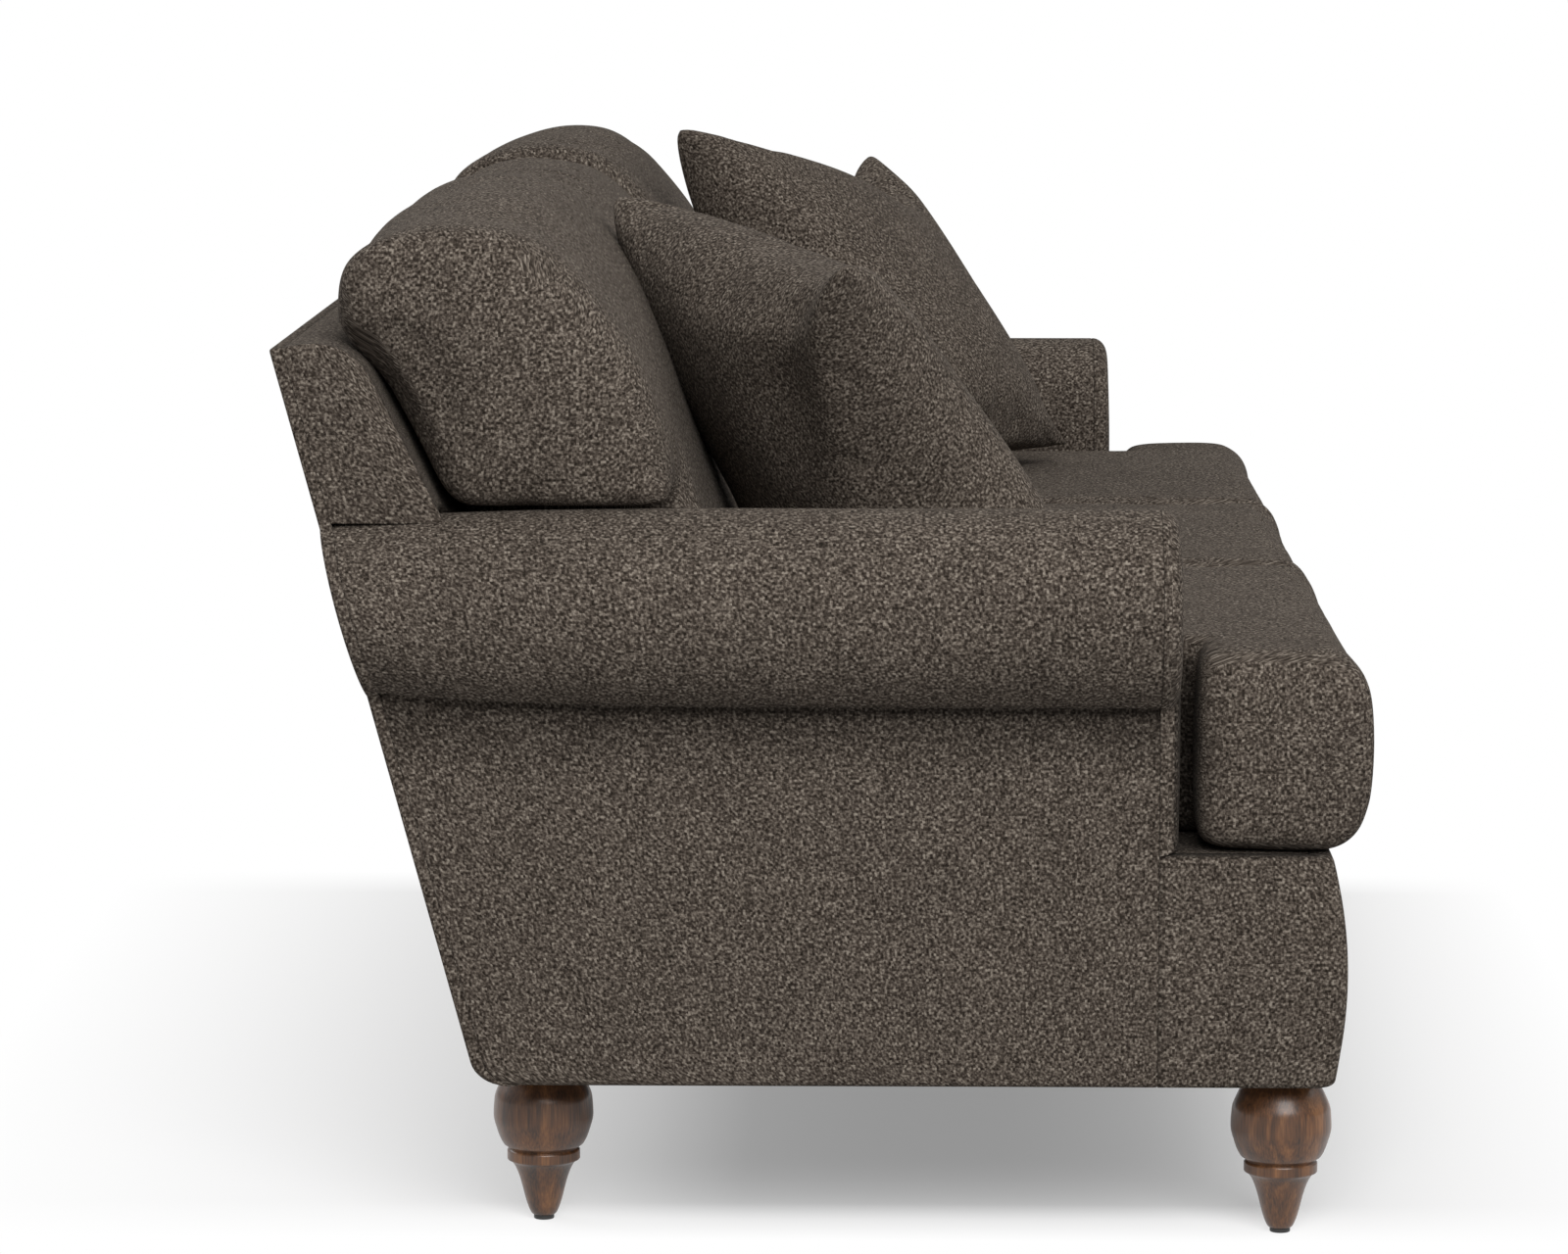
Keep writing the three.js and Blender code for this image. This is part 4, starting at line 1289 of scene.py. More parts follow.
    def outside(self) -> None:
        """Builds the outside back as one stretched panel.

        It is as wide as the arm panels, or as the rolls where they stand out. Across, a point is a share of
        the half width at its height. Behind, it lies on the raked rear face, drawn in by a quarter round near
        the edges.
        """
        s = self.sizes
        radius = s.roll_radius - s.roll_taper
        corner = math.sqrt(radius**2 - s.roll_inset**2)
        top = s.back_top + s.back_top_crown / 2
        low = s.foot_height + s.hem_rise
        levels = (
            mix(s.foot_height, low, quarter(9)),
            np.linspace(low, s.roll_z - corner, 22)[1:],
            s.roll_z + radius * np.sin(np.linspace(-1, 1, 34)[1:] * math.asin(corner / radius)),
            np.linspace(s.roll_z + corner, top - 0.012, 14)[1:],
            top - 0.010 * quarter(8)[::-1],
        )
        z = np.repeat(np.concatenate(levels)[:, None], self.columns, axis=1)
        roll = s.roll_x + np.sqrt(np.clip(radius**2 - (z - s.roll_z) ** 2, 0, None))
        wide = np.maximum(s.panel_half, roll)
        x = wide * (2 * crowded(self.columns, 0.85) - 1)
        edge = np.minimum(wide - np.abs(x), np.clip(top - z, 0, None))
        drawn = self.edge * rounding(unit(edge / (1.6 * self.edge)))
        slack = self.slack * (ripple(np.stack([x, 0 * x, z], axis=2), 0.5, 8) - 1)
        outer = np.stack([x, s.rear(z) - drawn + slack * unit(edge / 0.06), z], axis=2)
        inner = np.stack([x * (1 - 0.0003 / wide), s.rear(z) - s.board_thick, z], axis=2)
        self.dress(shell(outer, inner).mesh("outside_back_soft"), "tweed", "outside_back", 0.9)


@dataclass
class FrontBorder(Group):
    """The bowed, padded border under the seat cushions, which turns the corners back to the arm facings."""

    setback: float = 0.031
    bow: float = 0.014
    top_return: float = 0.004
    corner: float = 0.016
    hem: float = 0.006
    slack: float = 0.0008
    platform: float = 0.0125
    shade: float = 0.9
    side_points: int = 22
    corner_points: int = 10
    front_points: int = 130
    turn_points: int = 7

    def around(self, level: Array, inset: float) -> Array:
        """Grid of the border: a path round three sides, at each share of its height.

        The front is a straight line that bows forward by four times the bow times the share times its rest,
        and it meets the sides in quarter rounds.

        Args:
            level: (rows,) shares of the height.
            inset: distance inside the cover.

        Returns:
            (rows, columns, 3) places.
        """
        s = self.sizes
        foot = s.seat_front + self.setback
        front = (foot + self.top_return * level - self.bow * 4 * level * (1 - level) + inset)[:, None]
        half = s.panel_half - inset
        radius = self.corner - 0.5 * inset
        angle = np.linspace(0, np.pi / 2, self.corner_points)[None, :]
        side_y = mix(s.arm_seam - s.seam, front + radius, np.linspace(0, 1, self.side_points)[None, :-1])
        across = np.linspace(-1, 1, self.front_points)[None, 1:-1] * (half - radius)
        left_x = abreast(len(front), np.full_like(side_y, -half), -half + radius * (1 - np.cos(angle)))
        left_y = abreast(len(front), side_y, front + radius * (1 - np.sin(angle)))
        x = abreast(len(front), left_x, across, -left_x[:, ::-1])
        y = abreast(len(front), left_y, front + 0 * across, left_y[:, ::-1])
        z = np.broadcast_to(mix(s.foot_height, s.deck_top, level)[:, None], x.shape)
        return np.stack([x, y, z], axis=2)

    def build(self) -> None:
        """Builds the border and the platform behind its top edge as one piece."""
        s = self.sizes
        height = s.deck_top - s.foot_height
        end = self.hem / height
        turn = end * quarter(self.turn_points)
        level = np.concatenate([turn, np.linspace(end, 1 - end, 26)[1:-1], 1 - turn[::-1]])
        near = np.minimum(level, 1 - level) * height
        drawn = (self.hem * rounding(unit(near / self.hem)))[:, None]
        outer = self.around(level, 0)
        half, front = s.panel_half, s.seat_front + self.setback
        x, y = outer[..., 0].copy(), outer[..., 1].copy()
        outer[..., 0] -= np.where(np.abs(x) > half - self.corner, drawn * np.sign(x), 0)
        outer[..., 1] += np.where(y < front + self.corner, drawn, 0)
        slack = self.slack * (1 + ripple(outer, 0.3, 21)) * unit(near / 0.03)[:, None]
        outer[..., 1] += slack * (outer[..., 1] < s.arm_seam - 0.12)
        surface = shell(outer, self.around(level, s.pad_thick))
        inside = s.pad_thick + 0.001
        x = np.linspace(inside - half, half - inside, 90)[None, :]
        y = np.linspace(front + self.top_return + inside, s.arm_seam - s.seam, 14)[:, None]
        top = np.stack([x + 0 * y, y + 0 * x, s.deck_top - 0.0005 + 0 * x * y], axis=2)
        piece = surface.joined(shell(top, top - (0, 0, self.platform))).mesh("front_border_soft")
        # Painted shade: its top, which lies in the shade of the seat cushions, is darkened.
        mark_seams(piece.data, self.shade * unit((places(piece)[:, 2] - s.deck_top + 0.004) / 0.003))
        self.dress(piece, "tweed", "front_border", 0.8)


# Loose cushions


@dataclass
class Stuffing:
    """Blows closed skins up with Blender's cloth, as stuffing does, and keeps them near their pattern."""

    pressure: float = 4.0
    growth: float = 0.02
    frames: int = 20
    grain: float = 0.0085
    easing: int = 24

    def skin(self, surface: Surface, name: str) -> Object:
        """Even mesh of a closed surface, made by a voxel remesh.

        Args:
            surface: the closed pattern.
            name: name of the piece.

        Returns:
            The new object.
        """
        piece = surface.mesh(name)
        remesh = piece.modifiers.new("even", "REMESH")
        remesh.mode = "VOXEL"
        remesh.voxel_size = self.grain
        remesh.use_smooth_shade = True
        apply_modifiers(piece)
        piece.data.shade_smooth()
        return piece

    def round_off(self, piece: Object, weight: Array) -> None:
        """Rounds the edges of a skin: each point moves towards the mean of its neighbours, time after time.

        Args:
            piece: the skin.
            weight: one share for each point, of how far it goes.
        """
        points = places(piece)
        a, b = read(piece.data.edges, "vertices", 2).T
        count = len(points)
        ways = np.bincount(a, minlength=count) + np.bincount(b, minlength=count)
        for _ in range(self.easing):
            for value in points.T:
                total = np.bincount(a, value[b], count) + np.bincount(b, value[a], count)
                value += 0.5 * weight * (total / ways - value)
        put(piece, points)

    def blow(self, skins: list[Object], caps: list[float]) -> None:
        """Runs the cloth on all skins at once and applies its result.

        A point moves as the cloth says, up to its cap: its way is the cap times the hyperbolic tangent of the
        way divided by the cap.

        Args:
            skins: the closed skins.
            caps: how far a point of each skin may move, in metres.
        """
        scene = bpy.context.scene
        scene.frame_start, scene.frame_end = 1, self.frames
        settings = {
            "use_pressure": True, "uniform_pressure_force": self.pressure, "quality": 4, "mass": 0.25,
            "tension_stiffness": 20, "compression_stiffness": 20, "shear_stiffness": 8,
            "bending_stiffness": 0.6, "shrink_min": -self.growth,
        }
        for skin in skins:
            cloth = skin.modifiers.new("cloth", "CLOTH")
            for name, value in settings.items():
                setattr(cloth.settings, name, value)
            cloth.settings.effector_weights.gravity = 0
            cloth.collision_settings.use_collision = False
            cloth.point_cache.frame_start, cloth.point_cache.frame_end = 1, self.frames
        before = [places(skin) for skin in skins]
        for frame in range(1, self.frames + 1):
            scene.frame_set(frame)
        depsgraph = bpy.context.evaluated_depsgraph_get()
        after = [places(skin.evaluated_get(depsgraph)) for skin in skins]
        for skin, old, new, cap in zip(skins, before, after, caps):
            skin.modifiers.clear()
            way = new - old
            length = np.linalg.norm(way, axis=1, keepdims=True) + 1e-12
            put(skin, old + way / length * cap * np.tanh(length / cap))
        scene.frame_set(1)


@dataclass
class Cushion(Group):
    """What the loose seat and back cushions share: a row along X with rings in Y and Z, and perhaps an ear.

    Fields:
        plush: how strongly the skin is rounded off at the free end of an ear and elsewhere, and over which
            length that changes.
        cap: how far the stuffing may move a point.
    """

    side: Side
    low: float
    high: float
    ear_length: float
    kind: str = ""
    fill: float = 0.8
    end_reach: float = 0.020
    plush: tuple = (1.0, 1.0, 0.1)
    cap: float = 0.01
    shrink: float = 0.001
    bulge: float = 0.014
    seam_depth: float = 0.0012
    seam_width: float = 0.0035
    press: float = 0.0015
    end_rings: int = 7
    long_rings: int = 15
    end_normal: float = 0.72
    piece: Object | None = None

    def ring(self, x: float, ear: bool, draw: float) -> Array:
        """Ring of points at one station."""
        raise NotImplementedError

    def settle(self) -> None:
        """Presses the skin back where it rests."""
        raise NotImplementedError

    def shaded(self, points: Array) -> Array:
        """How deep each point lies in a gap where the cloth is darkened as painted shade, from 0 to 1."""
        return np.zeros(len(points))

    @property
    def first(self) -> float:
        """X of the low end."""
        return self.low - (self.ear_length if self.side is Side.LEFT else 0)

    @property
    def last(self) -> float:
        """X of the high end."""
        return self.high + (self.ear_length if self.side is Side.RIGHT else 0)

    def stations(self) -> list[tuple[float, bool, float]]:
        """Stations along the cushion, from its low end to its high one.

        Returns:
            For each one its x, whether it is on the ear, and the share by which the end is drawn in there.
        """
        left, right = self.side is Side.LEFT, self.side is Side.RIGHT
        share = np.linspace(0, 1, self.end_rings)
        ends = list(zip(share * self.end_reach, map(float, rounding(share))))
        rows = [(self.first + away, left, drawn) for away, drawn in ends]
        if left:
            rows += [(self.low - 0.0005, True, 0.0), (self.low + 0.001, False, 0.0)]
        rows += [(float(x), False, 0.0) for x in np.linspace(self.low, self.high, self.long_rings)[2:-2]]
        if right:
            rows += [(self.high - 0.001, False, 0.0), (self.high + 0.0005, True, 0.0)]
        return rows + [(self.last - away, right, drawn) for away, drawn in reversed(ends)]

    def between(self, x: Array) -> Array:
        """Presses values of x in between the neighbours, with some room past the free end of an ear.

        Args:
            x: the values.

        Returns:
            The pressed values.
        """
        room = self.sizes.cushion_gap / 2 - 0.0004
        low = self.first - (self.bulge if self.side is Side.LEFT else room)
        high = self.last + (self.bulge if self.side is Side.RIGHT else room)
        return below(above(x, low, self.press), high, self.press)

    def plushness(self, free_end: float, joint: float, reach: float) -> Array:
        """A share for each point of the skin.

        Args:
            free_end: share at the free end of an ear.
            joint: share elsewhere.
            reach: length over which the share changes from the free end.

        Returns:
            The shares.
        """
        x = places(self.piece)[:, 0]
        from_free_end = {Side.LEFT: x - self.first, Side.RIGHT: self.last - x}
        away = from_free_end.get(self.side, np.full(len(x), reach))
        return mix(free_end, joint, unit(away / reach))

    def closed(self, x: float, front: Array, rear: Array, z: Array) -> Array:
        """Ring at x that goes up the front and down the rear, both at the heights z."""
        y = np.concatenate([front, rear[::-1]])
        return np.stack([np.full_like(y, x), y, np.concatenate([z, z[::-1]])], axis=1)

    def build(self, stuffing: Stuffing) -> None:
        """Makes the skin of the cushion, before it is stuffed, from the rings of all stations.

        Args:
            stuffing: makes the even mesh and rounds its edges off.
        """
        rings = np.array([self.ring(*row) for row in self.stations()])
        pattern = tube(rings, rings[0].mean(axis=0), rings[-1].mean(axis=0))
        self.piece = stuffing.skin(pattern, f"{self.kind}_cushion_soft_{self.side.word}")
        stuffing.round_off(self.piece, self.plushness(*self.plush))

    def sew(self) -> None:
        """Draws the sewn lines round both end panels into the skin.

        Near a line the skin sinks by the depth times a bell curve of the distance.
        """
        points = places(self.piece)
        rows = self.stations()
        gap = np.min([nearest(points, fine_ring(self.ring(*row))) for row in (rows[1], rows[-2])], axis=0)
        close = bell(gap, self.seam_width)
        normals = read(self.piece.data.vertices, "normal", 3)
        # The cloth darkens along the sewn lines, where it is tucked into a groove, and as painted shade in
        # the gaps that shaded gives.
        mark_seams(self.piece.data, np.maximum(close, self.shaded(points)))
        put(self.piece, points - normals * (self.seam_depth * close)[:, None])

    def lay(self) -> None:
        """Lays the cloth: flat on the end panels, and elsewhere along X and round the ring by its angle."""
        data = self.piece.data
        ring = fine_ring(self.ring((self.low + self.high) / 2, False, 0.0))[:, 1:]
        middle = ring.mean(axis=0)
        angle = np.unwrap(np.arctan2(*(ring - middle).T[::-1]))
        run = walked(ring)
        if angle[-1] < angle[0]:
            angle, run = angle[::-1], run[::-1]
        sizes, starts = read(data.polygons, "loop_total"), read(data.polygons, "loop_start")
        face = np.repeat(np.arange(len(sizes)), sizes)
        points = places(self.piece)[read(data.loops, "vertex_index")]
        turn = np.arctan2(points[:, 2] - middle[1], points[:, 1] - middle[0])
        first = turn[starts][face]
        turn = first + (turn - first + np.pi) % (2 * np.pi) - np.pi
        turn = (first - angle[0]) % (2 * np.pi) + angle[0] + (turn - first)
        on_end = np.abs(read(data.polygons, "normal", 3)[face, 0]) > self.end_normal
        u = np.where(on_end, points[:, 1], points[:, 0])
        v = np.where(on_end, points[:, 2], np.interp(turn, angle, run))
        lay_cloth(data, np.stack([u, v], axis=1))

    def complete(self) -> None:
        """Settles, sews and dresses the stuffed cushion."""
        self.settle()
        self.sew()
        self.lay()
        subdivided(self.piece)
        word = self.side.word
        self.dress(self.piece, "tweed", f"{self.kind}_cushion_{word}", self.fill, f"{self.kind}_{word}")


@dataclass
class SeatCushion(Cushion):
    """A loose seat cushion whose cover runs over the front in one soft nose. The outer ones have an ear."""

    kind: str = "seat"
    fill: float = 0.85
    plush: tuple = (1.0, 0.12, 0.09)
    nose: float = 0.045
    end_draw: float = 0.016
    nose_proud: float = 0.005
    ear_puff: float = 0.010
    rear_gap: float = 0.003
    ear_gap: float = 0.012
    crown: float = 0.001
    joint_draw: float = 0.25
    heel_shade: float = 0.9
    front_rows: tuple = (
        (0, 0.72), (0.07, 0.3), (0.2, 0.11), (0.36, 0.03), (0.52, 0), (0.68, 0.02), (0.84, 0.1), (0.93, 0.27),
        (0.98, 0.6), (1, 1.2),
    )
    rear_rows: tuple = ((0, 0.4), (0.06, 0.1), (0.5, 0), (0.94, 0.2), (1, 0.6))

    @property
    def ear_heel(self) -> float:
        """Y of the rear of the ear, in front of the arm's facing."""
        s = self.sizes
        return s.arm_seam - s.facing_depth - s.seam - self.ear_gap

    def ring(self, x: float, ear: bool, draw: float) -> Array:
        """Ring at one station: up the nose, over the top and down the heel.

        Args:
            x: place along the sofa.
            ear: the ring is on the ear, in front of the arm.
            draw: how far the end is drawn in, as a share.

        Returns:
            (points, 3) places.
        """
        s = self.sizes
        drawn = self.end_draw * draw * (1.0 if ear else self.joint_draw)
        rear = self.ear_heel if ear else float(s.inside(s.deck_top)) - self.rear_gap
        low = s.deck_top + s.seam + drawn / 4 + self.shrink
        high = s.seat_top - drawn * 0.8 - self.shrink
        front, back = s.seat_front + drawn * 0.8 + self.shrink, rear - drawn - self.shrink
        up = crowded(24, 0.8)
        nose = front + self.nose * eased(self.front_rows, up)
        heel = back - self.end_draw * eased(self.rear_rows, up)
        return self.closed(x, nose, heel, mix(low, high, up))

    def settle(self) -> None:
        """Presses the skin back on the deck, under the back cushions and between its neighbours."""
        s = self.sizes
        points = places(self.piece)
        points[:, 0] = self.between(points[:, 0])
        points[:, 1] = stretched(points[:, 1], points[:, 1].max(), s.seat_front - self.nose_proud)
        near_end = self.plushness(1.0, 0.0, 0.10)
        points[:, 1] -= self.ear_puff * near_end * unit((-0.40 - points[:, 1]) / 0.09)
        points[:, 2] = above(points[:, 2], s.deck_top + 0.0004, self.press)
        room = s.seat_top + self.crown * smooth(unit((-0.02 - points[:, 1]) / 0.1))
        points[:, 2] = below(points[:, 2], room, 0.001)
        put(self.piece, points)

    def shaded(self, points: Array) -> Array:
        """Depth of the painted shade on the heel of the ear, close in front of the arm's facing.

        Args:
            points: points of the skin.

        Returns:
            One share for each point.
        """
        s = self.sizes
        on_heel = (np.abs(points[:, 0]) > s.arm_inner - 0.015) * (points[:, 2] < s.seat_top - 0.015)
        return self.heel_shade * on_heel * unit((points[:, 1] - self.ear_heel + 0.014) / 0.010)


@dataclass
class BackCushion(Cushion):
    """A loose back cushion that leans on the inside back. The outer ones have an ear over the arm."""

    kind: str = "back"
    end_reach: float = 0.045
    plush: tuple = (1.0, 0.7, 0.12)
    cap: float = 0.012
    rise: float = 0.407
    depth: float = 0.365
    lean: float = 0.014
    end_draw: float = 0.012
    end_tight: float = 0.016
    front_draw: float = 0.026
    crown_fall: float = 0.016
    joint_fall: float = 0.5
    drop: float = 0.0
    arm_gap: float = 0.002
    front_rows: tuple = (
        (0, 0), (0.235, 0.105), (0.43, 0.18), (0.6, 0.247), (0.72, 0.315), (0.84, 0.414), (0.9375, 0.512),
        (0.985, 0.58), (1, 0.65),
    )
    rear_rows: tuple = (
        (0, 0.54), (0.69, 0.918), (0.76, 0.992), (0.82, 1.026), (0.88, 1.035), (0.93, 0.998), (0.97, 0.92),
        (0.9925, 0.83), (1, 0.7),
    )

    def face(self, rows: tuple, up: Array) -> Array:
        """Y of the front or the rear face.

        Args:
            rows: the rows of that face.
            up: shares of the height.

        Returns:
            One Y for each share.
        """
        s = self.sizes
        foot = float(s.inside(s.seat_top)) - self.lean - self.depth * self.rear_rows[0][1]
        return foot + self.depth * eased(rows, unit(up))

    def ring(self, x: float, ear: bool, draw: float) -> Array:
        """Ring at one station: up the front face, over the crown and down the rear face.

        The crown rises between the ends with the sine of the share of the width.

        Args:
            x: place along the sofa.
            ear: the ring is on the ear, over the arm.
            draw: how far the end is drawn in, as a share.

        Returns:
            (points, 3) places.
        """
        s = self.sizes
        left = math.sqrt(max(0.0, 1 - (1 - draw) ** 2))
        drawn = self.end_draw * float(rounding((1 - left) * self.end_reach / self.end_tight))
        across = unit((x - self.low) / (self.high - self.low))
        free = self.side.value * (across - 0.5) > 0
        fall = self.crown_fall * (1.0 if free else self.joint_fall) * (1 - math.sin(math.pi * across))
        foot = s.crest + self.arm_gap if ear else s.seat_top + s.seam
        low = foot + drawn / 3 + self.shrink
        high = s.seat_top + self.rise - self.drop - drawn - fall - self.shrink
        z = mix(low, high, crowded(40, 0.85))
        scale = (z - s.seat_top) / (high + self.shrink + drawn - s.seat_top)
        front = self.face(self.front_rows, scale) + (self.front_draw * draw if ear else 0.7 * drawn)
        rear = self.face(self.rear_rows, scale) - 0.35 * drawn
        middle = (front + rear) / 2
        front, rear = np.minimum(front + self.shrink, middle), np.maximum(rear - self.shrink, middle)
        return self.closed(x, front, rear, z)

    def settle(self) -> None:
        """Presses the skin back on the seat, over the arm, on the inside back and between its neighbours."""
        s = self.sizes
        points = places(self.piece)
        points[:, 0] = self.between(points[:, 0])
        points[:, 2] = stretched(points[:, 2], s.seat_top, s.seat_top + self.rise - self.drop)
        on_arm = np.abs(points[:, 0]) > s.arm_inner - s.cushion_gap
        foot = np.where(on_arm, s.crest + self.arm_gap - self.press, s.seat_top + s.seam)
        points[:, 2] = above(points[:, 2], foot, self.press)
        up = unit((points[:, 2] - s.seat_top) / (self.rise - self.drop))
        pressed = above(points[:, 1], self.face(self.front_rows, up) - 0.003, 0.004)
        points[:, 1] = mix(points[:, 1], pressed, smooth(unit((0.95 - up) / 0.35)))
        wall = s.inside(np.minimum(points[:, 2], s.shoulder)) - 0.002
        over = unit((points[:, 2] - s.shoulder) / 0.02)
        points[:, 1] = np.where(over < 1, below(points[:, 1], wall + over, 0.002), points[:, 1])
        put(self.piece, points)


@dataclass
class ThrowPillow(Group):
    """A knife-edge pillow that leans in the corner, belly forward, its foot pressed flat on the seat.

    Angles are in degrees. Lengths along the faces u and v are shares of half the side, u from the arm
    inwards.
    """

    side: Side
    behind: BackCushion
    higher: float = 0.0
    lean: float = 34
    turn: float = 27
    tilt: float = 6.5
    length: float = 0.492
    belly: float = 0.194
    draw: float = 0.026
    sink: float = 0.095
    tip_inset: float = 0.046
    tip_forward: float = 0.107
    tip_rise: float = 0.334
    fatness: float = 0.52
    tip_thin: float = 0.24
    front_share: float = 0.84
    back_share: float = 1.04
    sunk_stuffing: float = 0.34
    side_draw: float = 0.022
    fold: float = 0.34
    top_dip: float = 0.006
    top_puff: float = 0.010
    dip_at: float = -0.62
    dip_width: float = 0.26
    chop: float = 0.0
    tip_round: float = 0.005
    edge_shade: float = 0.45
    fill: float = 0.65
    cap: float = 0.014
    count: int = 91
    piece: Object | None = None

    def way(self) -> tuple[Array, Array, Array, Array]:
        """Works out how the pillow stands.

        Returns:
            Its middle and its width, height and outward directions.
        """
        s, sign = self.sizes, self.side.value
        lean, turn, tilt = (math.radians(angle) for angle in (self.lean, self.turn, self.tilt))
        foot = self.behind.face(self.behind.front_rows, 0.0)
        tip = np.array([
            sign * (s.arm_inner - self.tip_inset), foot - self.tip_forward,
            s.seat_top + self.tip_rise + self.higher,
        ])
        up = np.array([0.0, 0.0, 1.0])
        inward = np.array([-sign * math.cos(turn), math.sin(turn), 0.0])
        facing = np.array([-sign * math.sin(turn), -math.cos(turn), 0.0])
        height = up * math.cos(lean) - facing * math.sin(lean)
        width = inward * math.cos(tilt) + height * math.sin(tilt)
        outward = facing * math.cos(lean) + up * math.sin(lean)
        half = self.length / 2
        return tip + width * half - height * half, width, height, outward

    def face(self, front: int) -> Array:
        """Grid of one face.

        Across the face, u and v run from -1 to 1, and u is -1 at the arm. Let a be one minus u squared, b one
        minus v squared, and c their sum less their product. An edge is drawn in by the draw times b or a.
        The face stands out by half the belly times (a b / c) to the power of the fatness, times c to the
        power of the tips' thinness.

        The stuffing sinks towards the foot. Bell curves then shape the face: the chop thins it under the dip,
        a fold lies behind the top corner at the arm, and the top edge dips beside that corner and puffs
        further in.

        Args:
            front: 1 for the front face and -1 for the back one.

        Returns:
            (rows, columns, 3) places, rows along the width.
        """
        middle, width, height, outward = self.way()
        half = self.length / 2
        line = np.sin(np.linspace(-1, 1, self.count) * np.pi / 2 * 0.62) / math.sin(np.pi / 2 * 0.62)
        u, v = np.meshgrid(line, line, indexing="ij")
        drawn = self.draw / half
        a, b = 1 - u * u, 1 - v * v
        round_sum = np.maximum(a + b - a * b, 1e-9)
        dip = bell(u - self.dip_at, self.dip_width)
        fat = (a * b / round_sum) ** self.fatness * round_sum**self.tip_thin
        fat = fat * (1 + self.sunk_stuffing * smooth(unit((0.25 - v) / 1.25)))
        fat = fat * (1 - self.chop * unit((v + 0.2) / 1.2) ** 2 * dip)
        if front < 0:
            valley = bell(u + 0.62 - 0.2 * (1 - v), 0.27)
            fat = fat * (1 - self.fold * valley * smooth(unit((v - 0.05) / 0.6)))
        high = ((1 + v) / 2) ** 4
        blunt = self.tip_round * (np.abs(u) * np.abs(v)) ** 14
        side_draw = self.side_draw * b * ((1 - u) / 2) ** (9 if front > 0 else 3)
        at_u = half * u * (1 - drawn * b) + side_draw - blunt * np.sign(u)
        top = self.top_puff * bell(u - 0.35, 0.4) - self.top_dip * dip
        at_v = half * v * (1 - drawn * a) + high * top - blunt * np.sign(v)
        out = front * fat * self.belly / 2 * (self.front_share if front > 0 else self.back_share)
        return middle + at_u[..., None] * width + at_v[..., None] * height + out[..., None] * outward

    def settled(self, points: Array) -> Array:
        """Lets the foot rest on the seat and keeps the pillow in front of the back cushion.

        Below the sinking height, z becomes the seat plus that height times a falling exponential, scaled so
        that the lowest corner lies on the seat.

        Args:
            points: (count, 3) points.

        Returns:
            The moved points.
        """
        s = self.sizes
        middle, width, height, _ = self.way()
        lowest = middle[2] - self.length / 2 * (height[2] + width[2])
        foot = s.seat_top + s.seam
        x, y, z = points.T
        sunk, sunk_lowest = (np.exp(np.minimum(at - foot - self.sink, 0) / self.sink) for at in (z, lowest))
        low = foot + self.sink * (sunk - sunk_lowest) / (1 - sunk_lowest)
        z = np.where(z > foot + self.sink, z, np.maximum(low, foot))
        back = self.behind.face(self.behind.front_rows, (z - s.seat_top) / self.behind.rise) - s.seam
        return np.stack([x, np.minimum(y, back), z], axis=-1)

    def numbered(self) -> tuple[Array, Array]:
        """Numbers the points of both faces, which share their edge.

        Returns:
            The numbers of the front face and those of the back one, as square grids.
        """
        front = np.arange(self.count**2).reshape(self.count, self.count)
        back = front.copy()
        back[1:-1, 1:-1] = self.count**2 + np.arange((self.count - 2) ** 2).reshape(self.count - 2, -1)
        return front, back

    def build(self) -> None:
        """Sews both faces together at the edge, before they are stuffed."""
        front, back = self.numbered()
        points = np.zeros((back.max() + 1, 3))
        points[back.ravel()] = self.face(-1).reshape(-1, 3)
        points[front.ravel()] = self.face(1).reshape(-1, 3)
        quads = []
        for index, way in ((front, 1), (back, -1)):
            corners = (index[:-1, :-1], index[1:, :-1], index[1:, 1:], index[:-1, 1:])
            quads += np.stack([corner.ravel() for corner in corners], axis=1)[:, ::way].tolist()
        surface = Surface(self.settled(points), quads, np.zeros((len(points), 2))).outward()
        self.piece = surface.mesh(f"pillow_soft_{self.side.word}")

    def lay(self) -> None:
        """Lays the cloth on both faces by the length walked along each line of their grids."""
        data, points = self.piece.data, places(self.piece)
        corner = read(data.loops, "vertex_index")
        values = np.zeros((len(corner), 2))
        half = len(corner) // 2
        for index, part, shift in zip(self.numbered(), (slice(0, half), slice(half, None)), (0.0, 0.7)):
            cloth = np.zeros((len(points), 2))
            cloth[index.ravel()] = unrolled(points[index], by_line=True).reshape(-1, 2) + shift
            values[part] = cloth[corner[part]]
        lay_cloth(data, values)

    def complete(self) -> None:
        """Settles, lays and dresses the stuffed pillow, with its seam along the edge slightly darkened,
        partly as painted shade.
        """
        put(self.piece, self.settled(places(self.piece)))
        self.lay()
        front, _ = self.numbered()
        edge = np.zeros(len(self.piece.data.vertices))
        edge[np.concatenate([front[0], front[-1], front[:, 0], front[:, -1]])] = self.edge_shade
        mark_seams(self.piece.data, edge)
        subdivided(self.piece)
        node = f"pillow_{self.side.word}"
        self.dress(self.piece, "tweed", node, self.fill, node)


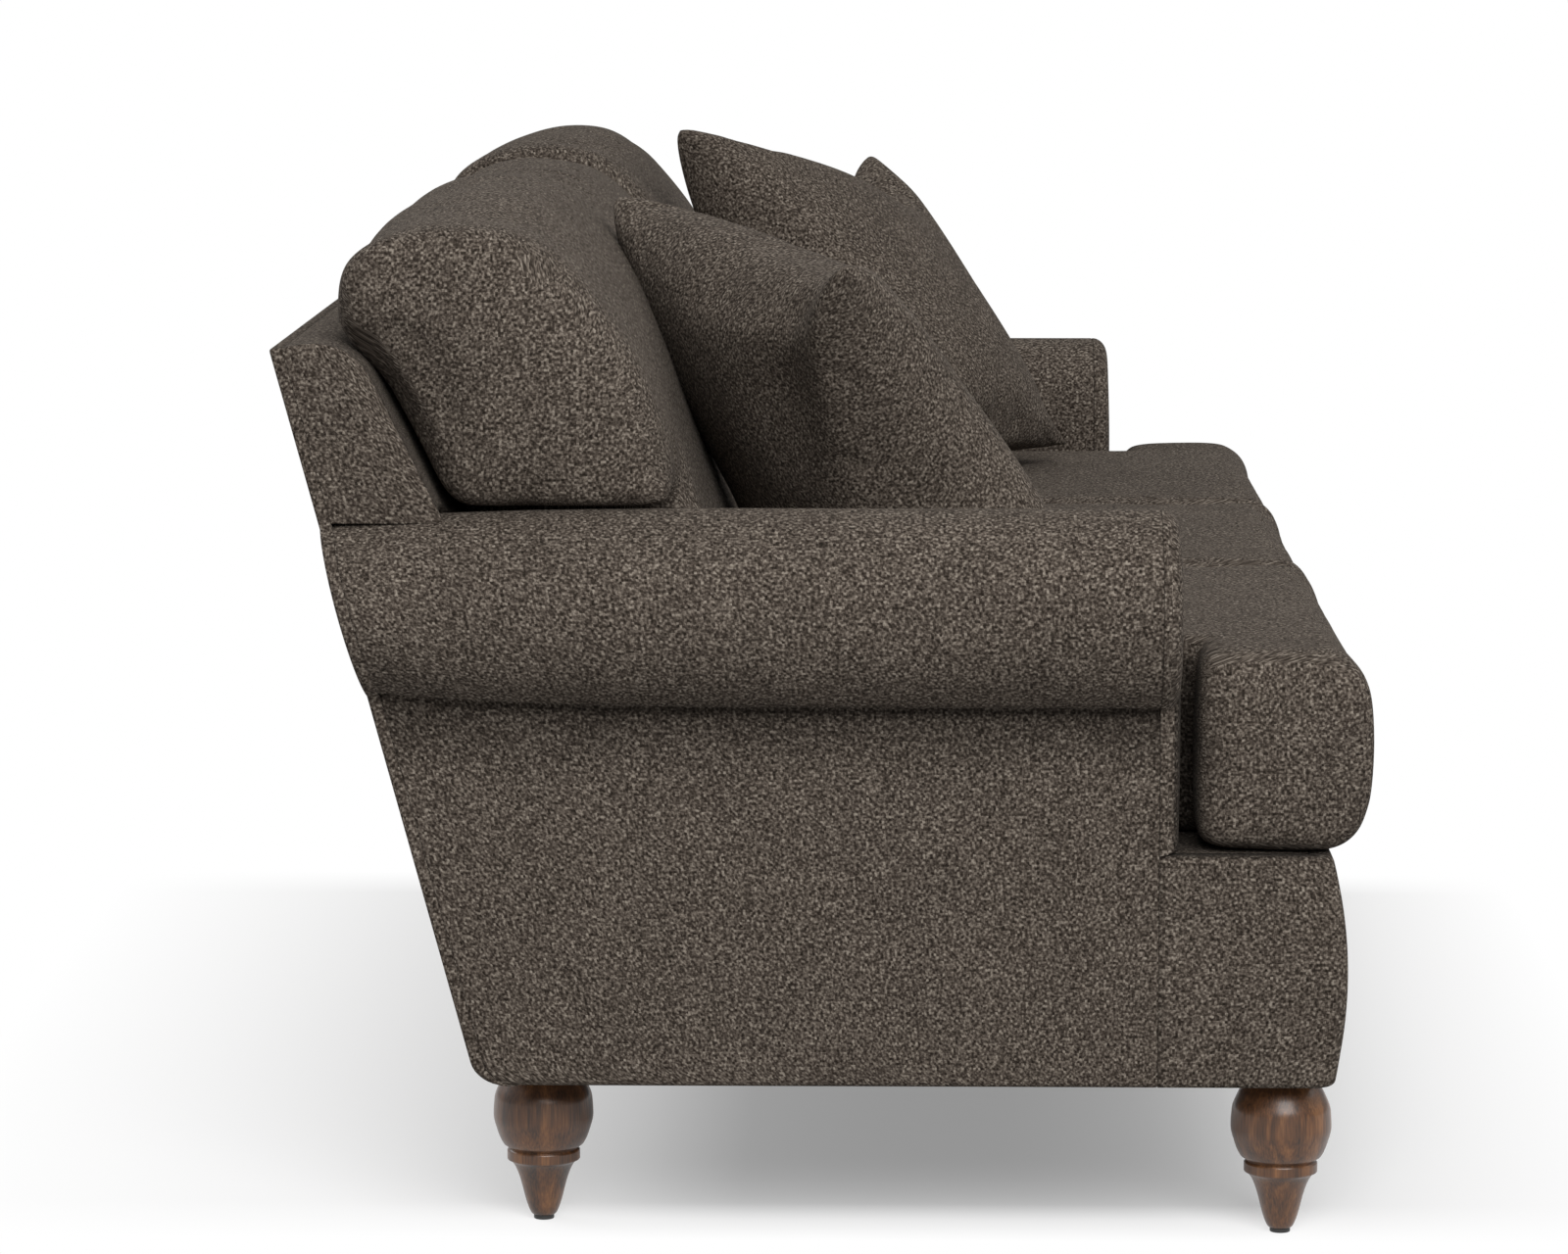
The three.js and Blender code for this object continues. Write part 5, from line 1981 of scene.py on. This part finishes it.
@dataclass
class LooseCushions(Group):
    """All loose cushions and pillows, stuffed together."""

    ear_setback: float = 0.006
    middle_drop: float = 0.014

    def build(self) -> None:
        """Makes, stuffs and dresses the cushions and pillows."""
        s = self.sizes
        outer = s.arm_inner - s.cushion_gap
        inner = 2 * s.arm_inner / 6
        half = s.cushion_gap / 2
        ear = s.panel_half - self.ear_setback - outer
        rows = (
            (Side.LEFT, -outer, -inner - half, ear), (Side.MIDDLE, -inner + half, inner - half, 0.0),
            (Side.RIGHT, inner + half, outer, ear),
        )
        seats = [SeatCushion(s, self.finishes, *row) for row in rows]
        drops = (0.0, self.middle_drop, 0.0)
        backs = [BackCushion(s, self.finishes, *row, drop=drop) for row, drop in zip(rows, drops)]
        pillows = [
            ThrowPillow(s, self.finishes, Side.LEFT, backs[0], higher=0.006, turn=25.5, tip_forward=0.0915),
            ThrowPillow(
                s, self.finishes, Side.RIGHT, backs[2], higher=0.031, lean=31.5, turn=23.5, tilt=7,
                side_draw=0.002, fold=0.12, top_dip=0.045, top_puff=0.0, dip_at=-0.48, dip_width=0.32,
                chop=0.15,
            ),
        ]
        stuffing = Stuffing()
        for cushion in (*seats, *backs):
            cushion.build(stuffing)
        for pillow in pillows:
            pillow.build()
        soft = (*seats, *backs, *pillows)
        stuffing.blow([cushion.piece for cushion in soft], [cushion.cap for cushion in soft])
        for cushion in soft:
            cushion.complete()


# Legs and the frame inside


@dataclass
class TurnedLeg(Group):
    """One turned walnut leg with its nylon glide."""

    word: str
    x: float
    y: float
    bulb: float = 0.0465
    glide_height: float = 0.004
    glide_radius: float = 0.0095
    glide_round: float = 0.001
    bolt_bore: float = 0.0044
    bolt_depth: float = 0.040
    sharp: float = 50
    rows: tuple = (
        (0, 0.24), (0.04, 0.3), (0.3, 0.54), (0.355, 0.64), (0.375, 0.73), (0.43, 0.73), (0.445, 0.69),
        (0.475, 0.8), (0.57, 0.93), (0.67, 1), (0.78, 0.98), (0.88, 0.87), (1, 0.66),
    )

    def build(self) -> None:
        """Turns the leg, with the bore of its bolt, and the glide."""
        s = self.sizes
        foot, top = self.glide_height + s.seam, s.foot_height - s.seam
        up = np.unique(np.concatenate([np.linspace(0, 1, 90), [row[0] for row in self.rows]]))
        outside = np.stack([self.bulb * eased(self.rows, up), mix(foot, top, up)], axis=1)
        floor, edge = top - self.bolt_depth, outside[0, 0]
        start = [(0.0, foot), (edge - 0.0012, foot), (edge - 0.0003, foot + 0.0004)]
        bore = [(self.bolt_bore, top), (self.bolt_bore, floor), (0.0, floor)]
        leg = np.concatenate([start, outside[1:], bore])
        rim = self.glide_round * quarter(6)
        low = np.stack([self.glide_radius - rim[::-1], rim], axis=1)
        end = [(self.glide_radius, self.glide_height), (0.0, self.glide_height)]
        glide = np.concatenate([[(0.0, 0.0)], low, end])
        forms = (("leg_turned", "walnut", leg, 96), ("glide_round", "nylon", glide, 48))
        for kind, slot, profile, around in forms:
            piece = turned(profile, self.x, self.y, around).mesh(f"{kind}_{self.word}")
            piece.data.set_sharp_from_angle(angle=math.radians(self.sharp))
            self.dress(piece, slot, f"{kind.split('_')[0]}_{self.word}")


@dataclass
class InnerWork(Group):
    """The frame's own pieces, which keep their solids, and the cloth on them."""

    nodes: dict[str, Object]
    legs: list[TurnedLeg]
    strap_thick: float = 0.0026
    tack_spacing: float = 0.06
    bolt_points: int = 24

    def paint(self) -> None:
        """Gives the frame's solids their finishes."""
        kinds = {
            "rail": "hardwood", "post": "hardwood", "strut": "hardwood", "board": "hardwood",
            "stump": "plywood", "plate": "plywood", "spring": "steel", "bolt": "steel",
        }
        for name, node in self.nodes.items():
            for word, finish in kinds.items():
                if word in name:
                    node.data.materials.clear()
                    node.data.materials.append(self.finishes[finish])

    def spread(self, node: str, rows: int) -> tuple[Array, Array, Array, Array]:
        """Grid over the box of a flat node.

        Args:
            node: the node.
            rows: how many rows it has along X.

        Returns:
            X in rows and Y in columns, each point's distance from the nearest edge, and the two corners of
            the box.
        """
        low, high = box = np.array(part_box(node))
        x = np.linspace(low[0], high[0], rows)[:, None]
        y = np.linspace(low[1], high[1], 60)[None, :]
        edge = np.minimum(np.minimum(x - low[0], high[0] - x), np.minimum(y - low[1], high[1] - y))
        return x, y, edge, box

    def deck(self) -> None:
        """Builds the cloth deck, which the springs push up a little in rows."""
        x, y, edge, (low, high) = self.spread("seat_deck", 150)
        pitch = 2 * self.sizes.arm_inner / 8
        rows = np.cos(2 * np.pi * (x / pitch + 0.5)) ** 2
        z = high[2] - 0.0045 + (0.0015 * rows + 0.0025) * unit(edge / 0.04)
        outer = np.stack([x + 0 * y, y + 0 * x, z], axis=2)
        inner = outer.copy()
        inner[..., 2] = low[2] + 0.0002
        self.dress(shell(outer, inner).mesh("seat_deck_cloth"), "felt", "seat_deck", 0.9)

    def straps(self) -> None:
        """Builds the elastic straps of the back as woven bands with bound edges."""
        for number in (1, 2, 3):
            node = f"back_strap_{number}"
            low, high = np.array(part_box(node))
            x = np.linspace(low[0], high[0], 120)[:, None]
            t = np.linspace(0, 1, 15)[None, :]
            bound = 0.0005 * unit(1 - np.minimum(t, 1 - t) / 0.06)
            y = low[1] + (high[1] - low[1] - self.strap_thick) * t + bound + 0 * x
            outer = np.stack([x + 0 * t, y, mix(low[2], high[2], t) + 0 * x], axis=2)
            inner = outer.copy()
            inner[..., 1] += self.strap_thick - 2 * bound
            self.dress(shell(outer, inner).mesh(f"elastic_strap_{number}"), "webbing", node)

    def dust_cover(self) -> None:
        """Builds the dust cover, a stretched cloth that hangs a little between its tacks, with bolt holes."""
        x, y, edge, (low, high) = self.spread("dust_cover", 120)
        tacks = 0.0004 * (1 + np.cos(2 * np.pi * (x + y) / self.tack_spacing)) * np.exp(-edge / 0.02)
        hang = 0.0012 * unit(edge / 0.2)
        outer = np.stack([x + 0 * y, y + 0 * x, low[2] + 0.0014 - hang + tacks], axis=2)
        piece = shell(outer, outer + (0, 0, 0.0009)).mesh("dust_cover_cloth")
        angle = np.linspace(0, 2 * np.pi, self.bolt_points, endpoint=False)
        for leg in self.legs:
            x, y = leg.x + leg.bolt_bore * np.cos(angle), leg.y + leg.bolt_bore * np.sin(angle)
            ends = (low[2] - 0.01, high[2] + 0.01)
            rings = np.array([np.stack([x, y, np.full_like(x, z)], axis=1) for z in ends])
            cut(piece, tube(rings, *rings.mean(axis=1)))
        self.dress(piece, "dust_cloth", "dust_cover")

    def build(self) -> None:
        """Paints the solids and builds the cloth on them."""
        self.paint()
        self.deck()
        self.straps()
        self.dust_cover()


# Camera, lamps and floor


@dataclass
class Viewpoint:
    """The camera of the photograph: from the left end, a little above the arm, with a long lens."""

    place: tuple = (-6.290, -0.07331, 1.24644)
    look: tuple = (0.99168, 0.02049, -0.12713)
    right: tuple = (0.02066, -0.99979, 0.0)
    lens: float = 135.0
    sensor: float = 36.0

    def build(self) -> None:
        """Sets the camera up and makes it the scene's own."""
        data = bpy.data.cameras.new("photographer")
        data.lens = self.lens
        data.sensor_width = self.sensor
        data.sensor_fit = "HORIZONTAL"
        data.clip_end = 500
        look = np.array(self.look) / np.linalg.norm(self.look)
        right = np.array(self.right) / np.linalg.norm(self.right)
        columns = (right, np.cross(right, look), -look, self.place)
        bpy.context.scene.camera = placed("photographer", data, columns)


@dataclass
class Studio:
    """Pale floor, white surroundings and large soft lamps.

    Fields:
        fill: strength of the white world on everything but the camera.
        lift: share of plain white that the camera sees in the floor under the sofa.
        shade: colour of the floor for light that bounces.
        fades: (axis, start, end) of the ramps over which the floor turns white, axis 0 on both sides.
        lamps: name, place, size and watts of each lamp.
    """

    floor_half: float = 120.0
    fill: float = 0.43
    lift: float = 0.27
    shade: str = "#a6a6a6"
    paint: str = "#f8f8f8"
    white: str = "#ffffff"
    aim: tuple = (0.0, 0.0, 0.4)
    fades: tuple = ((0, 0.85, 1.0), (1, 0.08, 0.9), (1, -0.5, -0.82))
    lamps: tuple = (
        ("key_from_the_left_end", (-6.0, -1.2, 4.3), 4.0, 355.0),
        ("from_the_front", (0.8, -5.0, 4.4), 3.5, 75.0),
        ("from_behind", (2.4, 5.0, 3.6), 3.5, 110.0),
    )

    def world(self) -> None:
        """White world: full strength for the camera and in reflections, and a fill for everything else."""
        world = bpy.data.worlds.new("white_room")
        world.use_nodes = True
        tree = world.node_tree
        tree.nodes.clear()
        path = add(tree, "LightPath").outputs
        rays = {0: path["Is Camera Ray"], 1: path["Is Transmission Ray"]}
        seen = add(tree, "Math", rays, operation="MAXIMUM").outputs[0]
        level = add(tree, "MapRange", {"Value": seen}, {"To Min": self.fill, "To Max": 1.0}).outputs[0]
        sky = add(tree, "Background", {"Strength": level}, {"Color": self.white})
        add(tree, "OutputWorld", {"Surface": sky.outputs[0]})
        bpy.context.scene.world = world

    def floor(self) -> None:
        """Builds the floor, which turns to pure white away from the sofa.

        What the camera sees is a mix of lit paint and plain white. The share of the paint is one minus the
        lift under the sofa. It falls to nothing past its ends, its front and its back, as the product of
        three straight ramps. Light that bounces sees a greyer floor, as in a room with dark walls below.
        """
        half = self.floor_half
        data = bpy.data.meshes.new("studio_floor")
        square = [(-half, -half, 0), (half, -half, 0), (half, half, 0), (-half, half, 0)]
        data.from_pydata(square, [], [(0, 1, 2, 3)])
        material, tree = blank("white_paint")
        path = add(tree, "LightPath").outputs
        rays = {0: path["Is Camera Ray"], 1: path["Is Glossy Ray"]}
        seen = add(tree, "Math", rays, operation="MAXIMUM").outputs[0]
        colours = {6: self.shade, 7: self.paint}
        paint = add(tree, "Mix", {"Factor": seen}, colours, data_type="RGBA").outputs[2]
        values = {"Roughness": 0.9, "Specular IOR Level": 0.0}
        shader = add(tree, "BsdfPrincipled", {"Base Color": paint}, values).outputs[0]
        at = add(tree, "SeparateXYZ", {0: add(tree, "TexCoord").outputs["Object"]}).outputs
        along = add(tree, "Math", {0: at[0]}, operation="ABSOLUTE").outputs[0]
        ramps = []
        for axis, start, end in self.fades:
            limits = {"From Min": start, "From Max": end, "To Min": 1.0, "To Max": 0.0}
            ramps.append(add(tree, "MapRange", {"Value": (along, at[1])[axis]}, limits).outputs[0])
        kept = ramps[0]
        for ramp in ramps[1:]:
            kept = add(tree, "Math", {0: kept, 1: ramp}, operation="MULTIPLY").outputs[0]
        white = add(tree, "MapRange", {"Value": kept}, {"To Min": 1.0, "To Max": self.lift}).outputs[0]
        share = add(tree, "Math", {0: white, 1: seen}, operation="MULTIPLY").outputs[0]
        glow = add(tree, "Emission", values={"Color": self.white, "Strength": 1.0}).outputs[0]
        blend = add(tree, "MixShader", {0: share, 1: shader, 2: glow}).outputs[0]
        add(tree, "OutputMaterial", {"Surface": blend})
        data.materials.append(material)
        placed("studio_floor", data)

    def lamp(self, name: str, place: tuple, size: float, power: float) -> None:
        """Adds one large soft lamp that points at the sofa.

        Args:
            name: its name.
            place: where it hangs.
            size: side of its square.
            power: watts.
        """
        data = bpy.data.lights.new(name, "AREA")
        data.shape = "SQUARE"
        data.size = size
        data.energy = power
        back = np.array(place) - self.aim
        back /= np.linalg.norm(back)
        side = np.cross([0.0, 0.0, 1.0], back)
        side /= np.linalg.norm(side)
        placed(name, data, (side, np.cross(back, side), back, place))

    def build(self) -> None:
        """Sets up the room."""
        self.world()
        self.floor()
        for lamp in self.lamps:
            self.lamp(*lamp)
        bpy.context.scene.view_settings.view_transform = "Standard"


def corners(box: tuple) -> list[list[float]]:
    """A pair of corners as plain lists of numbers."""
    return [[float(value) for value in corner] for corner in box]


def main() -> None:
    """Builds the sofa over its frame and reports each piece."""
    logging.basicConfig(level=logging.INFO, format="%(name)s: %(message)s")
    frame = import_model()
    Viewpoint().build()
    Studio().build()
    sizes, finishes = SofaSizes(), {slot: finish.material() for slot, finish in FINISHES.items()}
    for side in ENDS:
        arm = RolledArm(sizes, finishes, side)
        arm.cover()
        arm.facing()
    back = FixedBack(sizes, finishes)
    back.inside_cover()
    back.outside()
    FrontBorder(sizes, finishes).build()
    rows = (("front", 0.065, sizes.seat_front + 0.076), ("rear", 0.105, sizes.back_top_y - 0.236))
    legs = []
    for side in ENDS:
        for word, inset, y in rows:
            x = side.value * (sizes.panel_half - inset)
            legs.append(TurnedLeg(sizes, finishes, f"{word}_{side.word}", x, y))
    for leg in legs:
        leg.build()
    InnerWork(sizes, finishes, frame["nodes"], legs).build()
    LooseCushions(sizes, finishes).build()
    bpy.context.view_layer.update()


if __name__ == "__main__":
    main()
